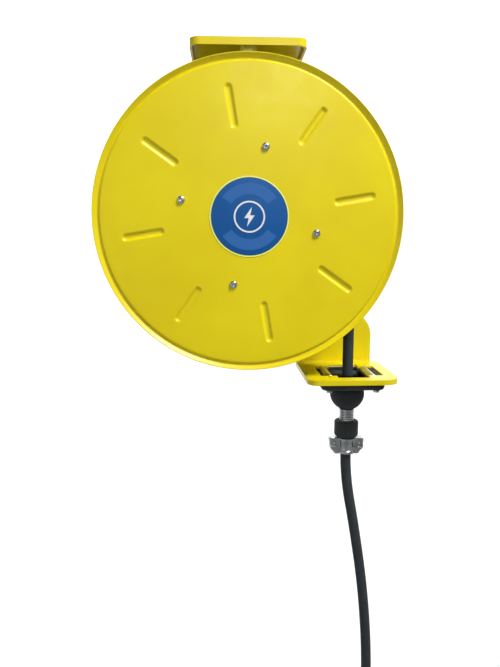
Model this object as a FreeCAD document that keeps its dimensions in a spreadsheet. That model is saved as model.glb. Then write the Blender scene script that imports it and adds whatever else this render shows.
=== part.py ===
import FreeCAD, Part
import math
import os

import Sketcher

# Ceiling cord reel with a ball stop and a hanging outlet box.
# Millimetres.  The origin is the centre of the mounting base's ceiling face, +Z is up,
# the drum turns about a line along Y, and the labelled front disc looks along -Y.

SIZES = (
    # frame
    ("base_width", 138, "mounting base, side to side"),
    ("base_depth", 100, "mounting base, front to back"),
    ("base_lip", 9, "height of the base's turned-down edge"),
    ("base_corner", 12, "outer corner radius of the base"),
    ("frame_sheet", 3, "sheet thickness of base, upright and guide arm"),
    ("mount_hole", 9, "diameter of the four ceiling holes"),
    ("mount_wide", 108, "ceiling hole spacing along X"),
    ("mount_deep", 70, "ceiling hole spacing along Y"),
    ("top_clearance", 21, "ceiling face to the discs' rims"),
    ("rear_gap", 19, "upright to rear disc"),
    # drum
    ("disc_diameter", 368, "both end discs"),
    ("disc_sheet", 2, "sheet thickness of the discs"),
    ("rim_band", 8, "width of the rolled rim"),
    ("spool_slack", 2, "clear width between the discs beyond the cord's turns"),
    ("core_diameter", 200, "drum core that the cord winds on"),
    ("core_wall", 3, "wall of the drum core"),
    ("screw_inset", 17.7, "disc screws from the core's outer face"),
    ("screw_size", 5, "disc screw thread"),
    ("label_diameter", 94.8, "round label on the front disc"),
    ("rib_width", 10.4, "pressed rib on a disc"),
    ("rib_margin", 31.5, "disc's edge to the ribs' outer ends"),
    ("shaft_diameter", 20, "fixed main shaft"),
    ("bearing_outer", 42, "ball bearing outside diameter"),
    ("bearing_width", 12, "ball bearing width"),
    ("spring_margin", 19, "spring case to the core's inner face"),
    ("ratchet_diameter", 116, "ratchet wheel over its teeth"),
    ("ratchet_gap", 5, "rear disc to the ratchet wheel, past the disc's screw heads"),
    # cord and its stop
    ("cord_size", 14, "cord diameter"),
    ("ball_size", 44.7, "ball stop diameter"),
    ("ball_seat", 12, "ball stop centre below the housing's mouth"),
    # roller guide
    ("guide_clearance", 12, "discs' rims to the guide plate's top"),
    ("guide_inboard", 60, "guide plate edge from the cord, towards the drum"),
    ("guide_outboard", 54.5, "guide plate edge from the cord, away from the drum"),
    ("guide_reach", 57, "guide plate edge in front of the cord"),
    ("guide_lip", 6.5, "height of the guide plate's turned-down edge"),
    ("roller_size", 12, "side roller diameter"),
    ("roller_spread", 28, "side roller axis from the cord"),
    ("roller_length", 54, "side roller length"),
    ("cross_roller_size", 10, "cross roller diameter"),
    ("cross_roller_spread", 31, "cross roller axis from the cord"),
    ("cross_roller_length", 36, "cross roller length"),
    ("pin_size", 4, "roller pin diameter"),
    ("housing_width", 81, "roller housing, side to side"),
    ("housing_depth", 80, "roller housing, front to back"),
    ("housing_height", 15, "roller housing below the guide plate"),
    # outlet box
    ("box_width", 74, "outlet box, side to side"),
    ("box_depth", 88, "outlet box, front to back"),
    ("box_height", 110, "outlet box height"),
    ("box_wall", 3.5, "wall of the outlet box"),
    ("cover_sheet", 3, "outlet cover thickness"),
    ("device_width", 33.5, "receptacle face width"),
    ("device_height", 67, "receptacle face height"),
)

RUNNING_FIT = 0.1      # radial clearance of a turning fit
GAP = 0.5              # between pieces that move past each other
LAYERS = 3             # cord layers on the drum
TURNS = 6              # cord turns in each layer
LAYER_STEP = 0.866     # nested layer spacing, in cord diameters

# Shared places, as expressions on the sheet.
SPOOL_WIDTH = "(%d * Dim.cord_size + Dim.spool_slack)" % TURNS
SCREW_CIRCLE = "(Dim.core_diameter - 2 * Dim.screw_inset)"
CORD_X = "(Dim.core_diameter / 2 + Dim.cord_size * (0.5 + %g))" % ((LAYERS - 1) * LAYER_STEP)
WINDING_RADIUS = "(Dim.core_diameter / 2 + Dim.cord_size * (1 + %g))" % ((LAYERS - 1) * LAYER_STEP)
UPRIGHT_REAR = "(Dim.base_depth / 2 - Dim.frame_sheet)"
UPRIGHT_FRONT = "(Dim.base_depth / 2 - 2 * Dim.frame_sheet)"
REAR_INNER = "(%s - Dim.rear_gap - Dim.disc_sheet)" % UPRIGHT_FRONT
FRONT_INNER = "(%s - %s)" % (REAR_INNER, SPOOL_WIDTH)
CORD_Y = "(%s - %s / 2)" % (REAR_INNER, SPOOL_WIDTH)
AXIS_Z = "-(Dim.disc_diameter / 2 + Dim.top_clearance)"
GUIDE_Z = "(%s - Dim.disc_diameter / 2 - Dim.guide_clearance)" % AXIS_Z
STOP_Z = "(%s - Dim.frame_sheet - Dim.housing_height - Dim.ball_seat)" % GUIDE_Z

SCREW_START = 76.5     # degrees, first disc screw from +X
RIB_START = 9.5        # degrees, first pressed rib from +X

doc = FreeCAD.newDocument("cord_reel")
sheet = doc.addObject("Spreadsheet::Sheet", "Dim")
for row, (alias, number, note) in enumerate(SIZES, 1):
    sheet.set("A%d" % row, alias)
    sheet.set("B%d" % row, str(number))
    sheet.set("C%d" % row, note)
    sheet.setAlias("B%d" % row, alias)
doc.recompute()

nodes = []


def value(expression):
    """The present value of an expression on the sheet."""
    return float(sheet.evalExpression(str(expression)))


def bind(thing, **expressions):
    """Bind properties; a double underscore in a name stands for a dot."""
    for name, expression in expressions.items():
        thing.setExpression(name.replace("__", "."), str(expression))


def place(thing, x=0, y=0, z=0):
    """Bind a sub-part's position."""
    bind(thing, Placement__Base__x=x, Placement__Base__y=y, Placement__Base__z=z)
    return thing


def keep(thing, label):
    """Name a finished sub-part."""
    thing.Label = label
    nodes.append(thing)
    return thing


# --- sketch and feature helpers ---------------------------------------------------------

def new_body(label):
    body = doc.addObject("PartDesign::Body", label + "_body")
    body.AllowCompound = True
    return keep(body, label)


def new_sketch(body, plane, offset=0):
    """A sketch on one of the body's own planes.  XZ_Plane looks along -Y."""
    sketch = body.newObject("Sketcher::SketchObject", "Sketch")
    origin_planes = {feature.Role: feature for feature in body.Origin.OriginFeatures}
    sketch.AttachmentSupport = [(origin_planes[plane], "")]
    sketch.MapMode = "FlatFace"
    bind(sketch, AttachmentOffset__Base__z=offset)
    return sketch


def fix_point(sketch, geometry, position, x, y):
    """Hold a point of the sketch at two bound distances from the origin."""
    for kind, expression in (("DistanceX", x), ("DistanceY", y)):
        distance = value(expression)
        index = sketch.addConstraint(Sketcher.Constraint(kind, -1, 1, geometry, position, distance))
        sketch.setExpression("Constraints[%d]" % index, str(expression))


def circle(sketch, x, y, radius):
    """A circle with a bound centre and radius."""
    centre = FreeCAD.Vector(value(x), value(y), 0)
    ring = sketch.addGeometry(Part.Circle(centre, FreeCAD.Vector(0, 0, 1), value(radius)), False)
    fix_point(sketch, ring, 3, x, y)
    index = sketch.addConstraint(Sketcher.Constraint("Radius", ring, value(radius)))
    sketch.setExpression("Constraints[%d]" % index, str(radius))


def outline(sketch, corners):
    """A closed outline.  A corner is (x, y), or (x, y, radius) where it is rounded."""
    count = len(corners)
    points = [FreeCAD.Vector(value(c[0]), value(c[1]), 0) for c in corners]
    entries, exits, arcs, arc_ends = list(points), list(points), {}, {}
    for i, corner in enumerate(corners):
        if len(corner) < 3:
            continue
        back = (points[i - 1] - points[i]).normalize()
        ahead = (points[(i + 1) % count] - points[i]).normalize()
        half = back.getAngle(ahead) / 2
        radius = value(corner[2])
        entries[i] = points[i] + back * (radius / math.tan(half))
        exits[i] = points[i] + ahead * (radius / math.tan(half))
        centre = points[i] + (back + ahead).normalize() * (radius / math.sin(half))
        middle = centre + (points[i] - centre).normalize() * radius
        turns_left = ahead.cross(back).z > 0
        first, last = (entries[i], exits[i]) if turns_left else (exits[i], entries[i])
        arcs[i] = sketch.addGeometry(Part.Arc(first, middle, last), False)
        arc_ends[i] = (1, 2) if turns_left else (2, 1)
    lines = [sketch.addGeometry(Part.LineSegment(exits[i], entries[(i + 1) % count]), False)
             for i in range(count)]
    for i, corner in enumerate(corners):
        before, after = lines[i - 1], lines[i]
        if i not in arcs:
            sketch.addConstraint(Sketcher.Constraint("Coincident", before, 2, after, 1))
            fix_point(sketch, after, 1, corner[0], corner[1])
            continue
        mark = sketch.addGeometry(Part.Point(points[i]), True)
        fix_point(sketch, mark, 1, corner[0], corner[1])
        sketch.addConstraint(Sketcher.Constraint("PointOnObject", mark, 1, before))
        sketch.addConstraint(Sketcher.Constraint("PointOnObject", mark, 1, after))
        first, last = arc_ends[i]
        sketch.addConstraint(Sketcher.Constraint("Tangent", before, 2, arcs[i], first))
        sketch.addConstraint(Sketcher.Constraint("Tangent", arcs[i], last, after, 1))
        index = sketch.addConstraint(Sketcher.Constraint("Radius", arcs[i], value(corner[2])))
        sketch.setExpression("Constraints[%d]" % index, str(corner[2]))


def rectangle(sketch, left, right, low, high, radius=None):
    """A rectangle between four bound edges, rounded where a radius is given."""
    corners = [(left, low), (right, low), (right, high), (left, high)]
    if radius is not None:
        corners = [corner + (radius,) for corner in corners]
    outline(sketch, corners)


def pad(body, sketch, length, reverse=False):
    feature = body.newObject("PartDesign::Pad", "Pad")
    feature.Profile = sketch
    feature.Reversed = reverse
    bind(feature, Length=length)
    sketch.Visibility = False
    return feature


def pocket(body, sketch, length, reverse=False):
    """Cuts against the sketch's normal, or along it when reversed."""
    feature = body.newObject("PartDesign::Pocket", "Pocket")
    feature.Profile = sketch
    feature.Reversed = reverse
    bind(feature, Length=length)
    return feature


def repeat_round(body, feature, sketch, count):
    """Repeat a feature about the normal through its sketch's origin."""
    doc.recompute()
    pattern = body.newObject("PartDesign::PolarPattern", "PolarPattern")
    pattern.Originals = [feature]
    pattern.Axis = (sketch, ["N_Axis"])
    pattern.Angle = 360
    pattern.Occurrences = count
    body.Tip = pattern
    return pattern


def turned(label, profile, upright=False):
    """A body turned about its own Y axis, or about Z when it stands upright.

    The profile's corners are (radius, distance along the axis).
    """
    body = new_body(label)
    sketch = new_sketch(body, "XZ_Plane" if upright else "XY_Plane")
    outline(sketch, profile)
    feature = body.newObject("PartDesign::Revolution", "Revolution")
    feature.Profile = sketch
    feature.ReferenceAxis = (sketch, ["V_Axis"])
    feature.Angle = 360
    return body


def tube_profile(inner, outer, low, high):
    return [(inner, low), (outer, low), (outer, high), (inner, high)]


def round_bar(body, plane, spots, radius, start, length, reverse=False):
    """Round bars of one size at several spots of a plane."""
    sketch = new_sketch(body, plane, start)
    for x, y in spots:
        circle(sketch, x, y, radius)
    return pad(body, sketch, length, reverse)


def hexagon(sketch, x, y, across_flats):
    """A nut's outline with two flats parallel to the sketch's X axis."""
    corners = []
    for k in range(6):
        reach = "%s / 2 / cos(30)" % across_flats
        corners.append(("%s + %s * cos(%d)" % (x, reach, 60 * k), "%s + %s * sin(%d)" % (y, reach, 60 * k)))
    outline(sketch, corners)


def spots_around(diameter, start, count):
    """Evenly spaced places on a pitch circle."""
    spots = []
    for k in range(count):
        angle = start + 360 / count * k
        spots.append(("%s / 2 * cos(%g)" % (diameter, angle), "%s / 2 * sin(%g)" % (diameter, angle)))
    return spots


def plus_outline(sketch, x, y, side, cross):
    """The roller guide's window: side rollers' bay and cross rollers' bay, as half sizes."""
    (wide, short), (narrow, long) = side, cross
    quarter = [(wide, short), (narrow, short), (narrow, long)]
    corners = []
    for sx, sy, order in ((1, 1, 1), (-1, 1, -1), (-1, -1, 1), (1, -1, -1)):
        for across, along in quarter[::order]:
            corners.append(("%s + %d * (%s)" % (x, sx, across), "%s + %d * (%s)" % (y, sy, along)))
    outline(sketch, corners)


# --- fixed frame --------------------------------------------------------------------------

NUT_FLATS = 17          # M10 nuts under the base
NUT_HEIGHT = 8.4
STUD_RADIUS = 5
STUDS = ((0, -34), (30, 26), (-30, 26))
ARM_CIRCLE = 84         # pitch diameter of the guide arm's bolts
ARM_BOLT_RADIUS = 4
PAWL_X, PAWL_Z = -45, 77    # pawl pivot from the drum axis
PAWL_PIN_RADIUS = 4


def make_mounting_base():
    body = new_body("mounting_base")
    wide, deep = "Dim.base_width / 2", "Dim.base_depth / 2"
    outer = new_sketch(body, "XY_Plane")
    rectangle(outer, "-" + wide, wide, "-" + deep, deep, "Dim.base_corner")
    pad(body, outer, "Dim.base_lip", reverse=True)
    inner = new_sketch(body, "XY_Plane", "-Dim.base_lip")
    wide, deep = "(%s - Dim.frame_sheet)" % wide, "(%s - Dim.frame_sheet)" % deep
    rectangle(inner, "-" + wide, wide, "-" + deep, deep, "Dim.base_corner - Dim.frame_sheet")
    pocket(body, inner, "Dim.base_lip - Dim.frame_sheet", reverse=True)
    holes = new_sketch(body, "XY_Plane")
    for sx, sy in ((1, 1), (1, -1), (-1, 1), (-1, -1)):
        circle(holes, "%d * Dim.mount_wide / 2" % sx, "%d * Dim.mount_deep / 2" % sy, "Dim.mount_hole / 2")
    pocket(body, holes, "Dim.frame_sheet + 1")


def make_base_nuts():
    """Nuts under the base, and inside each the stud that is welded to the base."""
    body = new_body("base_nuts")
    face = "-2 * Dim.frame_sheet"
    flats = new_sketch(body, "XY_Plane", face)
    bores = new_sketch(body, "XY_Plane", face)
    for x, y in STUDS:
        hexagon(flats, x, y, NUT_FLATS)
        circle(bores, x, y, STUD_RADIUS + 0.05)
    pad(body, flats, NUT_HEIGHT, reverse=True)
    pocket(body, bores, NUT_HEIGHT + 1)
    length = "Dim.frame_sheet + %g" % (NUT_HEIGHT + 1)
    round_bar(body, "XY_Plane", STUDS, STUD_RADIUS, "-Dim.frame_sheet", length, reverse=True)


def make_frame_upright():
    """Back plate with a top flange under the base and two short side flanges."""
    body = new_body("frame_upright")
    side = "(Dim.base_width / 2 - Dim.frame_sheet)"
    neck = "(%s - Dim.base_corner)" % side
    shoulder = "-(Dim.base_lip + %g)" % GAP
    hub = 58
    flange_end = "(%s * 0.35)" % AXIS_Z
    back = new_sketch(body, "XZ_Plane", "-%s" % UPRIGHT_REAR)
    right = [(neck, "-Dim.frame_sheet"), (neck, shoulder), (side, shoulder), (side, flange_end),
             (hub, "%s - %g" % (AXIS_Z, hub), hub - 4)]
    left = [("-(%s)" % corner[0],) + corner[1:] for corner in reversed(right)]
    outline(back, right + left)
    pad(body, back, "Dim.frame_sheet")
    top = new_sketch(body, "XY_Plane", "-2 * Dim.frame_sheet")
    front_edge = "-(Dim.base_depth / 2 - Dim.frame_sheet - 1)"
    rectangle(top, -42, 42, front_edge, UPRIGHT_REAR)
    pad(body, top, "Dim.frame_sheet")
    flanges = new_sketch(body, "XY_Plane", shoulder)
    flange_front = "(%s - 8)" % UPRIGHT_FRONT
    rectangle(flanges, "%s - Dim.frame_sheet" % side, side, flange_front, UPRIGHT_REAR)
    rectangle(flanges, "-%s" % side, "Dim.frame_sheet - %s" % side, flange_front, UPRIGHT_REAR)
    pad(body, flanges, "-(%s) + %s" % (flange_end, shoulder), reverse=True)
    stud_holes = new_sketch(body, "XY_Plane", "-Dim.frame_sheet")
    for x, y in STUDS:
        circle(stud_holes, x, y, STUD_RADIUS + 0.2)
    pocket(body, stud_holes, "Dim.frame_sheet + 1")
    holes = new_sketch(body, "XZ_Plane", "-%s" % UPRIGHT_FRONT)
    circle(holes, 0, AXIS_Z, "Dim.shaft_diameter / 2 + %g" % RUNNING_FIT)
    circle(holes, PAWL_X, "%s + %g" % (AXIS_Z, PAWL_Z), PAWL_PIN_RADIUS)
    for x, z in spots_around(ARM_CIRCLE, 45, 4):
        circle(holes, x, "%s + %s" % (AXIS_Z, z), ARM_BOLT_RADIUS + 0.2)
    pocket(body, holes, "Dim.frame_sheet + 1")


def make_guide_arm():
    """Plate bolted behind the upright, folded forward under the drum to carry the rollers."""
    body = new_body("guide_arm")
    rear = "(%s + Dim.frame_sheet)" % UPRIGHT_REAR
    inboard, outboard = "(%s - Dim.guide_inboard)" % CORD_X, "(%s + Dim.guide_outboard)" % CORD_X
    front = "(%s - Dim.guide_reach)" % CORD_Y
    upstand = "(%s - 8)" % outboard       # outboard edge of the part that stands behind the drum
    near_round, far_round = 14, 20        # the plate's inboard and outboard corners
    hub = 52
    back = new_sketch(body, "XZ_Plane", "-%s" % rear)
    outline(back, [
        (inboard, GUIDE_Z),
        (upstand, GUIDE_Z),
        (upstand, "%s + 58" % GUIDE_Z, 35),
        (hub, "%s - 72" % AXIS_Z, 10),
        (hub, "%s + %g" % (AXIS_Z, hub), hub - 2),
        (-hub, "%s + %g" % (AXIS_Z, hub), hub - 2),
        (-hub, "%s - %g" % (AXIS_Z, hub), hub - 12),
    ])
    pad(body, back, "Dim.frame_sheet")
    shelf = new_sketch(body, "XY_Plane", GUIDE_Z)
    outline(shelf, [
        (inboard, front, near_round), (outboard, front, far_round),
        (outboard, rear, near_round), (inboard, rear),
    ])
    pad(body, shelf, "Dim.guide_lip", reverse=True)
    hollow = new_sketch(body, "XY_Plane", "%s - Dim.guide_lip" % GUIDE_Z)
    low, high = "%s + Dim.frame_sheet" % inboard, "%s - Dim.frame_sheet" % outboard
    near = "%s + Dim.frame_sheet" % front
    inside = value("Dim.frame_sheet")
    outline(hollow, [
        (low, near, near_round - inside), (high, near, far_round - inside),
        (high, UPRIGHT_REAR, near_round - inside), (low, UPRIGHT_REAR),
    ])
    pocket(body, hollow, "Dim.guide_lip - Dim.frame_sheet", reverse=True)
    window = new_sketch(body, "XY_Plane", GUIDE_Z)
    plus_outline(window, CORD_X, CORD_Y,
                 ("Dim.roller_spread + Dim.roller_size", "Dim.roller_length / 2 + 2"),
                 ("Dim.cross_roller_length / 2 + 2", "Dim.cross_roller_spread + Dim.cross_roller_size"))
    pocket(body, window, "Dim.frame_sheet + 1")
    screws = new_sketch(body, "XY_Plane", GUIDE_Z)
    for x, y in housing_screw_spots():
        circle(screws, x, y, HOUSING_SCREW_RADIUS)
    pocket(body, screws, "Dim.frame_sheet + 1")
    holes = new_sketch(body, "XZ_Plane", "-%s" % UPRIGHT_REAR)
    circle(holes, 0, AXIS_Z, "Dim.shaft_diameter / 2 + %g" % RUNNING_FIT)
    for x, z in spots_around(ARM_CIRCLE, 45, 4):
        circle(holes, x, "%s + %s" % (AXIS_Z, z), ARM_BOLT_RADIUS + 0.2)
    pocket(body, holes, "Dim.frame_sheet + 1")


def make_arm_bolts():
    """Four hexagon bolts from behind, with their nuts in front of the upright."""
    flats, head, nut = 13, 5.3, 6.5
    rear = "(%s + Dim.frame_sheet)" % UPRIGHT_REAR
    spots = [(x, "%s + %s" % (AXIS_Z, z)) for x, z in spots_around(ARM_CIRCLE, 45, 4)]
    body = new_body("arm_bolts")
    blanks = new_sketch(body, "XZ_Plane", "-%s" % UPRIGHT_FRONT)
    bores = new_sketch(body, "XZ_Plane", "-(%s - %g)" % (UPRIGHT_FRONT, nut))
    heads = new_sketch(body, "XZ_Plane", "-%s" % rear)
    for x, z in spots:
        hexagon(blanks, x, z, flats)
        circle(bores, x, z, ARM_BOLT_RADIUS + 0.05)
        hexagon(heads, x, z, flats)
    pad(body, blanks, nut)
    pocket(body, bores, nut + 1)
    pad(body, heads, head, reverse=True)
    round_bar(body, "XZ_Plane", spots, ARM_BOLT_RADIUS, "-%s" % rear, "2 * Dim.frame_sheet + %g" % (nut + 1))


SHAFT_FRONT = "(%s + 7)" % FRONT_INNER
SHAFT_RADIUS = "(Dim.shaft_diameter / 2)"
SHAFT_CLEAR = "(Dim.shaft_diameter / 2 + 2)"       # bores that pass round the shaft
ARBOR_RADIUS = "(Dim.shaft_diameter / 2 + 5)"
COLLAR = 6
WASHER = 3
SHAFT_NUT = 12


def make_main_shaft():
    """Hollow fixed shaft for the feed wires, its washer and nut, and the inlet gland."""
    radius = SHAFT_RADIUS
    collar = "(%s - %g)" % (UPRIGHT_FRONT, COLLAR)
    rear = "(%s + Dim.frame_sheet + %g)" % (UPRIGHT_REAR, WASHER + SHAFT_NUT + 3)
    bore_end = "(%s - 34)" % REAR_INNER
    place(turned("main_shaft", [
        (0, SHAFT_FRONT), (radius, SHAFT_FRONT), (radius, collar),
        (ARBOR_RADIUS, collar), (ARBOR_RADIUS, UPRIGHT_FRONT),
        (radius, UPRIGHT_FRONT), (radius, rear), (5, rear), (5, bore_end), (0, bore_end),
    ]), z=AXIS_Z)
    washer = "(%s + Dim.frame_sheet)" % UPRIGHT_REAR
    bore = "%s + %g" % (radius, 0.05)
    face = "%s + %g" % (washer, WASHER)
    nut = turned("shaft_nut", tube_profile(bore, "%s + 9" % SHAFT_RADIUS, washer, face))
    blank = new_sketch(nut, "XZ_Plane", "-(%s + %g)" % (washer, WASHER))
    hexagon(blank, 0, 0, "3 * %s" % SHAFT_RADIUS)
    circle(blank, 0, 0, bore)
    pad(nut, blank, SHAFT_NUT, reverse=True)
    place(nut, z=AXIS_Z)
    place(turned("inlet_gland", [
        (4, rear), (13, rear), (13, "%s + 7" % rear, 1), (9, "%s + 9" % rear),
        (11, "%s + 12" % rear), (9, "%s + 24" % rear, 3), (4, "%s + 24" % rear),
    ]), z=AXIS_Z)


def make_spring_arbor():
    """Sleeve keyed to the shaft, which the power spring's inner end hooks to."""
    front = "(%s + 21)" % FRONT_INNER
    profile = tube_profile(SHAFT_RADIUS, ARBOR_RADIUS, front, "%s + 18" % front)
    place(turned("spring_arbor", profile), z=AXIS_Z)


RING_OUTER = "(Dim.shaft_diameter / 2 + 8)"
RING_INNER = "(Dim.shaft_diameter / 2 + 4)"
RING_WIDTH = 4
RING_PITCH = 6
BRUSH_REACH = "(Dim.shaft_diameter / 2 + 18)"      # from the drum axis to the brush holder


def collector_start():
    return "(%s - 38)" % REAR_INNER


def make_collector():
    """Three slip rings on an insulating sleeve round the fixed shaft."""
    start = collector_start()
    end = "%s + %g" % (start, 3 * RING_PITCH + 2)
    place(turned("ring_sleeve", tube_profile(SHAFT_RADIUS, RING_INNER, start, end)), z=AXIS_Z)
    rings = new_body("collector_rings")
    for k in range(3):
        sketch = new_sketch(rings, "XZ_Plane", "-(%s + %g)" % (start, 2 + RING_PITCH * k))
        circle(sketch, 0, 0, RING_OUTER)
        circle(sketch, 0, 0, RING_INNER)
        pad(rings, sketch, RING_WIDTH, reverse=True)
    place(rings, z=AXIS_Z)


def ratchet_front():
    """Front face of the ratchet wheel and the pawl."""
    return "(%s + Dim.disc_sheet + Dim.ratchet_gap)" % REAR_INNER


RATCHET_THICK = 5


def make_pawl_pin():
    """Shouldered pin in the upright, with its retaining collar in front of the pawl."""
    pawl = ratchet_front()
    shoulder = "%s + %g" % (pawl, RATCHET_THICK + GAP)
    tip = "%s - 2" % pawl
    radius = PAWL_PIN_RADIUS
    place(turned("pawl_pin", [
        (0, tip), (radius, tip), (radius, "%s - 1.6" % pawl), (radius + 3, "%s - 1.6" % pawl),
        (radius + 3, "%s - %g" % (pawl, GAP)), (radius, "%s - %g" % (pawl, GAP)), (radius, shoulder),
        (radius + 2, shoulder), (radius + 2, UPRIGHT_FRONT), (radius, UPRIGHT_FRONT),
        (radius, UPRIGHT_REAR), (0, UPRIGHT_REAR),
    ]), x=PAWL_X, z="%s + %g" % (AXIS_Z, PAWL_Z))


def make_pawl_spring():
    """Light torsion coil round the pin's shoulder, between the pawl and the upright."""
    wire = 0.6
    body = new_body("pawl_spring")
    profile = new_sketch(body, "XY_Plane")
    start = "%s + %g" % (ratchet_front(), RATCHET_THICK + 1.2)
    circle(profile, PAWL_PIN_RADIUS + 3, start, wire)
    coil = body.newObject("PartDesign::AdditiveHelix", "Coil")
    coil.Profile = profile
    coil.ReferenceAxis = (profile, ["V_Axis"])
    coil.Mode = "pitch-height-angle"
    coil.Pitch = 1.6
    coil.Height = 6.4
    place(body, x=PAWL_X, z="%s + %g" % (AXIS_Z, PAWL_Z))


# --- drum ---------------------------------------------------------------------------------

SEAT_WALL = 5           # wall round a bearing seat
HUB_REACH = "(Dim.core_diameter / 2 - Dim.core_wall - 5)"   # radius of the two hub plates
HUB_PLATE = 3
BOSS_RADIUS = 30        # rear boss through the disc, under the ratchet wheel


def make_disc(label, outward, bore, face):
    """A pressed end disc with a stepped, rolled rim.  Its inner face is its origin."""
    edge = "Dim.disc_diameter / 2"
    band = "(%s - Dim.rim_band)" % edge
    sides = ((bore, 0), ("%s - 2.6" % band, 0, 1.5), ("%s + 0.8" % band, -3.2, 1.5), (edge, 0, 0.8),
             (edge, "Dim.disc_sheet + 1.5", 0.8), ("%s + 1" % band, "Dim.disc_sheet - 2.6", 1),
             ("%s - 1.2" % band, "Dim.disc_sheet", 1.8), (bore, "Dim.disc_sheet"))
    profile = [(corner[0], "%d * (%s)" % (outward, corner[1])) + corner[2:] for corner in sides]
    body = turned(label, profile)
    surface = new_sketch(body, "XZ_Plane", "%d * Dim.disc_sheet" % -outward)
    half = "Dim.rib_width / 2"
    inner, outer = "(Dim.core_diameter / 2 + 1)", "(%s - Dim.rib_margin)" % edge
    x0, z0 = math.cos(math.radians(RIB_START)), math.sin(math.radians(RIB_START))
    corners = []
    for reach, side in ((inner, -1), (outer, -1), (outer, 1), (inner, 1)):
        corners.append(("%g * %s - %g * %s" % (x0, reach, side * z0, half),
                        "%g * %s + %g * %s" % (z0, reach, side * x0, half), "%s * 0.8" % half))
    outline(surface, corners)
    rib = pocket(body, surface, "Dim.disc_sheet / 2", reverse=outward > 0)
    repeat_round(body, rib, surface, 8)
    holes = new_sketch(body, "XZ_Plane", "%d * (Dim.disc_sheet + 1)" % -outward)
    for x, z in spots_around(SCREW_CIRCLE, SCREW_START, 4):
        circle(holes, x, z, "Dim.screw_size / 2 + 0.25")
    pocket(body, holes, "Dim.disc_sheet + 2", reverse=outward > 0)
    place(body, y=face, z=AXIS_Z)


def screw_holes(body, face, depth, reverse=False):
    """Tapped holes on the disc screws' circle."""
    holes = new_sketch(body, "XZ_Plane", "-(%s)" % face)
    for x, z in spots_around(SCREW_CIRCLE, SCREW_START, 4):
        circle(holes, x, z, "Dim.screw_size / 2")
    pocket(body, holes, depth, reverse)


def make_drum_core():
    """The spool's barrel with an inward flange at each end."""
    outer = "Dim.core_diameter / 2"
    inner = "(%s - Dim.core_wall)" % outer
    lip = "(%s / 2 - 10)" % SCREW_CIRCLE
    front, rear = FRONT_INNER, REAR_INNER
    body = turned("drum_core", [
        (lip, front), (outer, front), (outer, rear), (lip, rear), (lip, "%s - Dim.core_wall" % rear),
        (inner, "%s - Dim.core_wall" % rear), (inner, "%s + Dim.core_wall" % front),
        (lip, "%s + Dim.core_wall" % front),
    ])
    screw_holes(body, "%s - 1" % front, "Dim.core_wall + 2")
    screw_holes(body, "%s + 1" % rear, "Dim.core_wall + 2", reverse=True)
    place(body, z=AXIS_Z)


def hub_front():
    return "(%s + Dim.core_wall)" % FRONT_INNER


def hub_rear():
    return "(%s - Dim.core_wall)" % REAR_INNER


def make_hubs():
    """Plates inside the core's flanges that hold the bearings."""
    seat = "Dim.bearing_outer / 2"
    boss = "(%s + %g)" % (seat, SEAT_WALL)
    front = hub_front()
    shelf = "(%s + 2)" % front
    end = "(%s + Dim.bearing_width)" % shelf
    body = turned("front_hub", [
        (SHAFT_CLEAR, front), (HUB_REACH, front), (HUB_REACH, "%s + %g" % (front, HUB_PLATE)),
        (boss, "%s + %g" % (front, HUB_PLATE)), (boss, end), (seat, end), (seat, shelf), (SHAFT_CLEAR, shelf),
    ])
    screw_holes(body, "%s - 1" % front, HUB_PLATE + 2)
    place(body, z=AXIS_Z)
    rear = hub_rear()
    tail = "(%s + %g)" % (ratchet_front(), RATCHET_THICK)
    mouth = "(%s - Dim.bearing_width)" % rear
    tail_bore = "(%s + 1)" % SHAFT_CLEAR
    body = turned("rear_hub", [
        (tail_bore, tail), (BOSS_RADIUS, tail), (BOSS_RADIUS, rear), (HUB_REACH, rear),
        (HUB_REACH, "%s - %g" % (rear, HUB_PLATE)), (boss, "%s - %g" % (rear, HUB_PLATE)),
        (boss, mouth), (seat, mouth), (seat, rear), (tail_bore, rear),
    ])
    screw_holes(body, "%s + 1" % rear, HUB_PLATE + 2, reverse=True)
    place(body, z=AXIS_Z)


def make_bearing(label, start):
    """A sealed ball bearing: two races with a recessed shield on each side."""
    bore = "(Dim.shaft_diameter / 2 + 0.05)"
    outer = "Dim.bearing_outer / 2"
    inner_race, outer_race = "%s + 3" % bore, "%s - 3" % outer
    end = "(%s + Dim.bearing_width)" % start
    place(turned(label, [
        (bore, start), (inner_race, start), (inner_race, "%s + 0.8" % start), (outer_race, "%s + 0.8" % start),
        (outer_race, start), (outer, start), (outer, end), (outer_race, end),
        (outer_race, "%s - 0.8" % end), (inner_race, "%s - 0.8" % end), (inner_race, end), (bore, end),
    ]), z=AXIS_Z)


def spring_front():
    return "(%s + 2 + Dim.bearing_width)" % hub_front()


SPRING_DEPTH = 24
SPRING_WALL = 2
SPRING_OUTER = "(Dim.core_diameter / 2 - Dim.core_wall - Dim.spring_margin)"


def make_spring_case():
    """Cup and lid round the power spring, carried on the front hub's boss."""
    front = spring_front()
    outer = SPRING_OUTER
    inner = "(%s - %g)" % (outer, SPRING_WALL)
    floor = "%s + %g" % (front, SPRING_WALL)
    end = "(%s + %g)" % (front, SPRING_DEPTH)
    place(turned("spring_case", [
        (SHAFT_CLEAR, front), (outer, front), (outer, end),
        (inner, end), (inner, floor), (SHAFT_CLEAR, floor),
    ]), z=AXIS_Z)
    lid = tube_profile("%s + 2" % ARBOR_RADIUS, outer, end, "%s + %g" % (end, SPRING_WALL))
    place(turned("spring_lid", lid), z=AXIS_Z)


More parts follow.
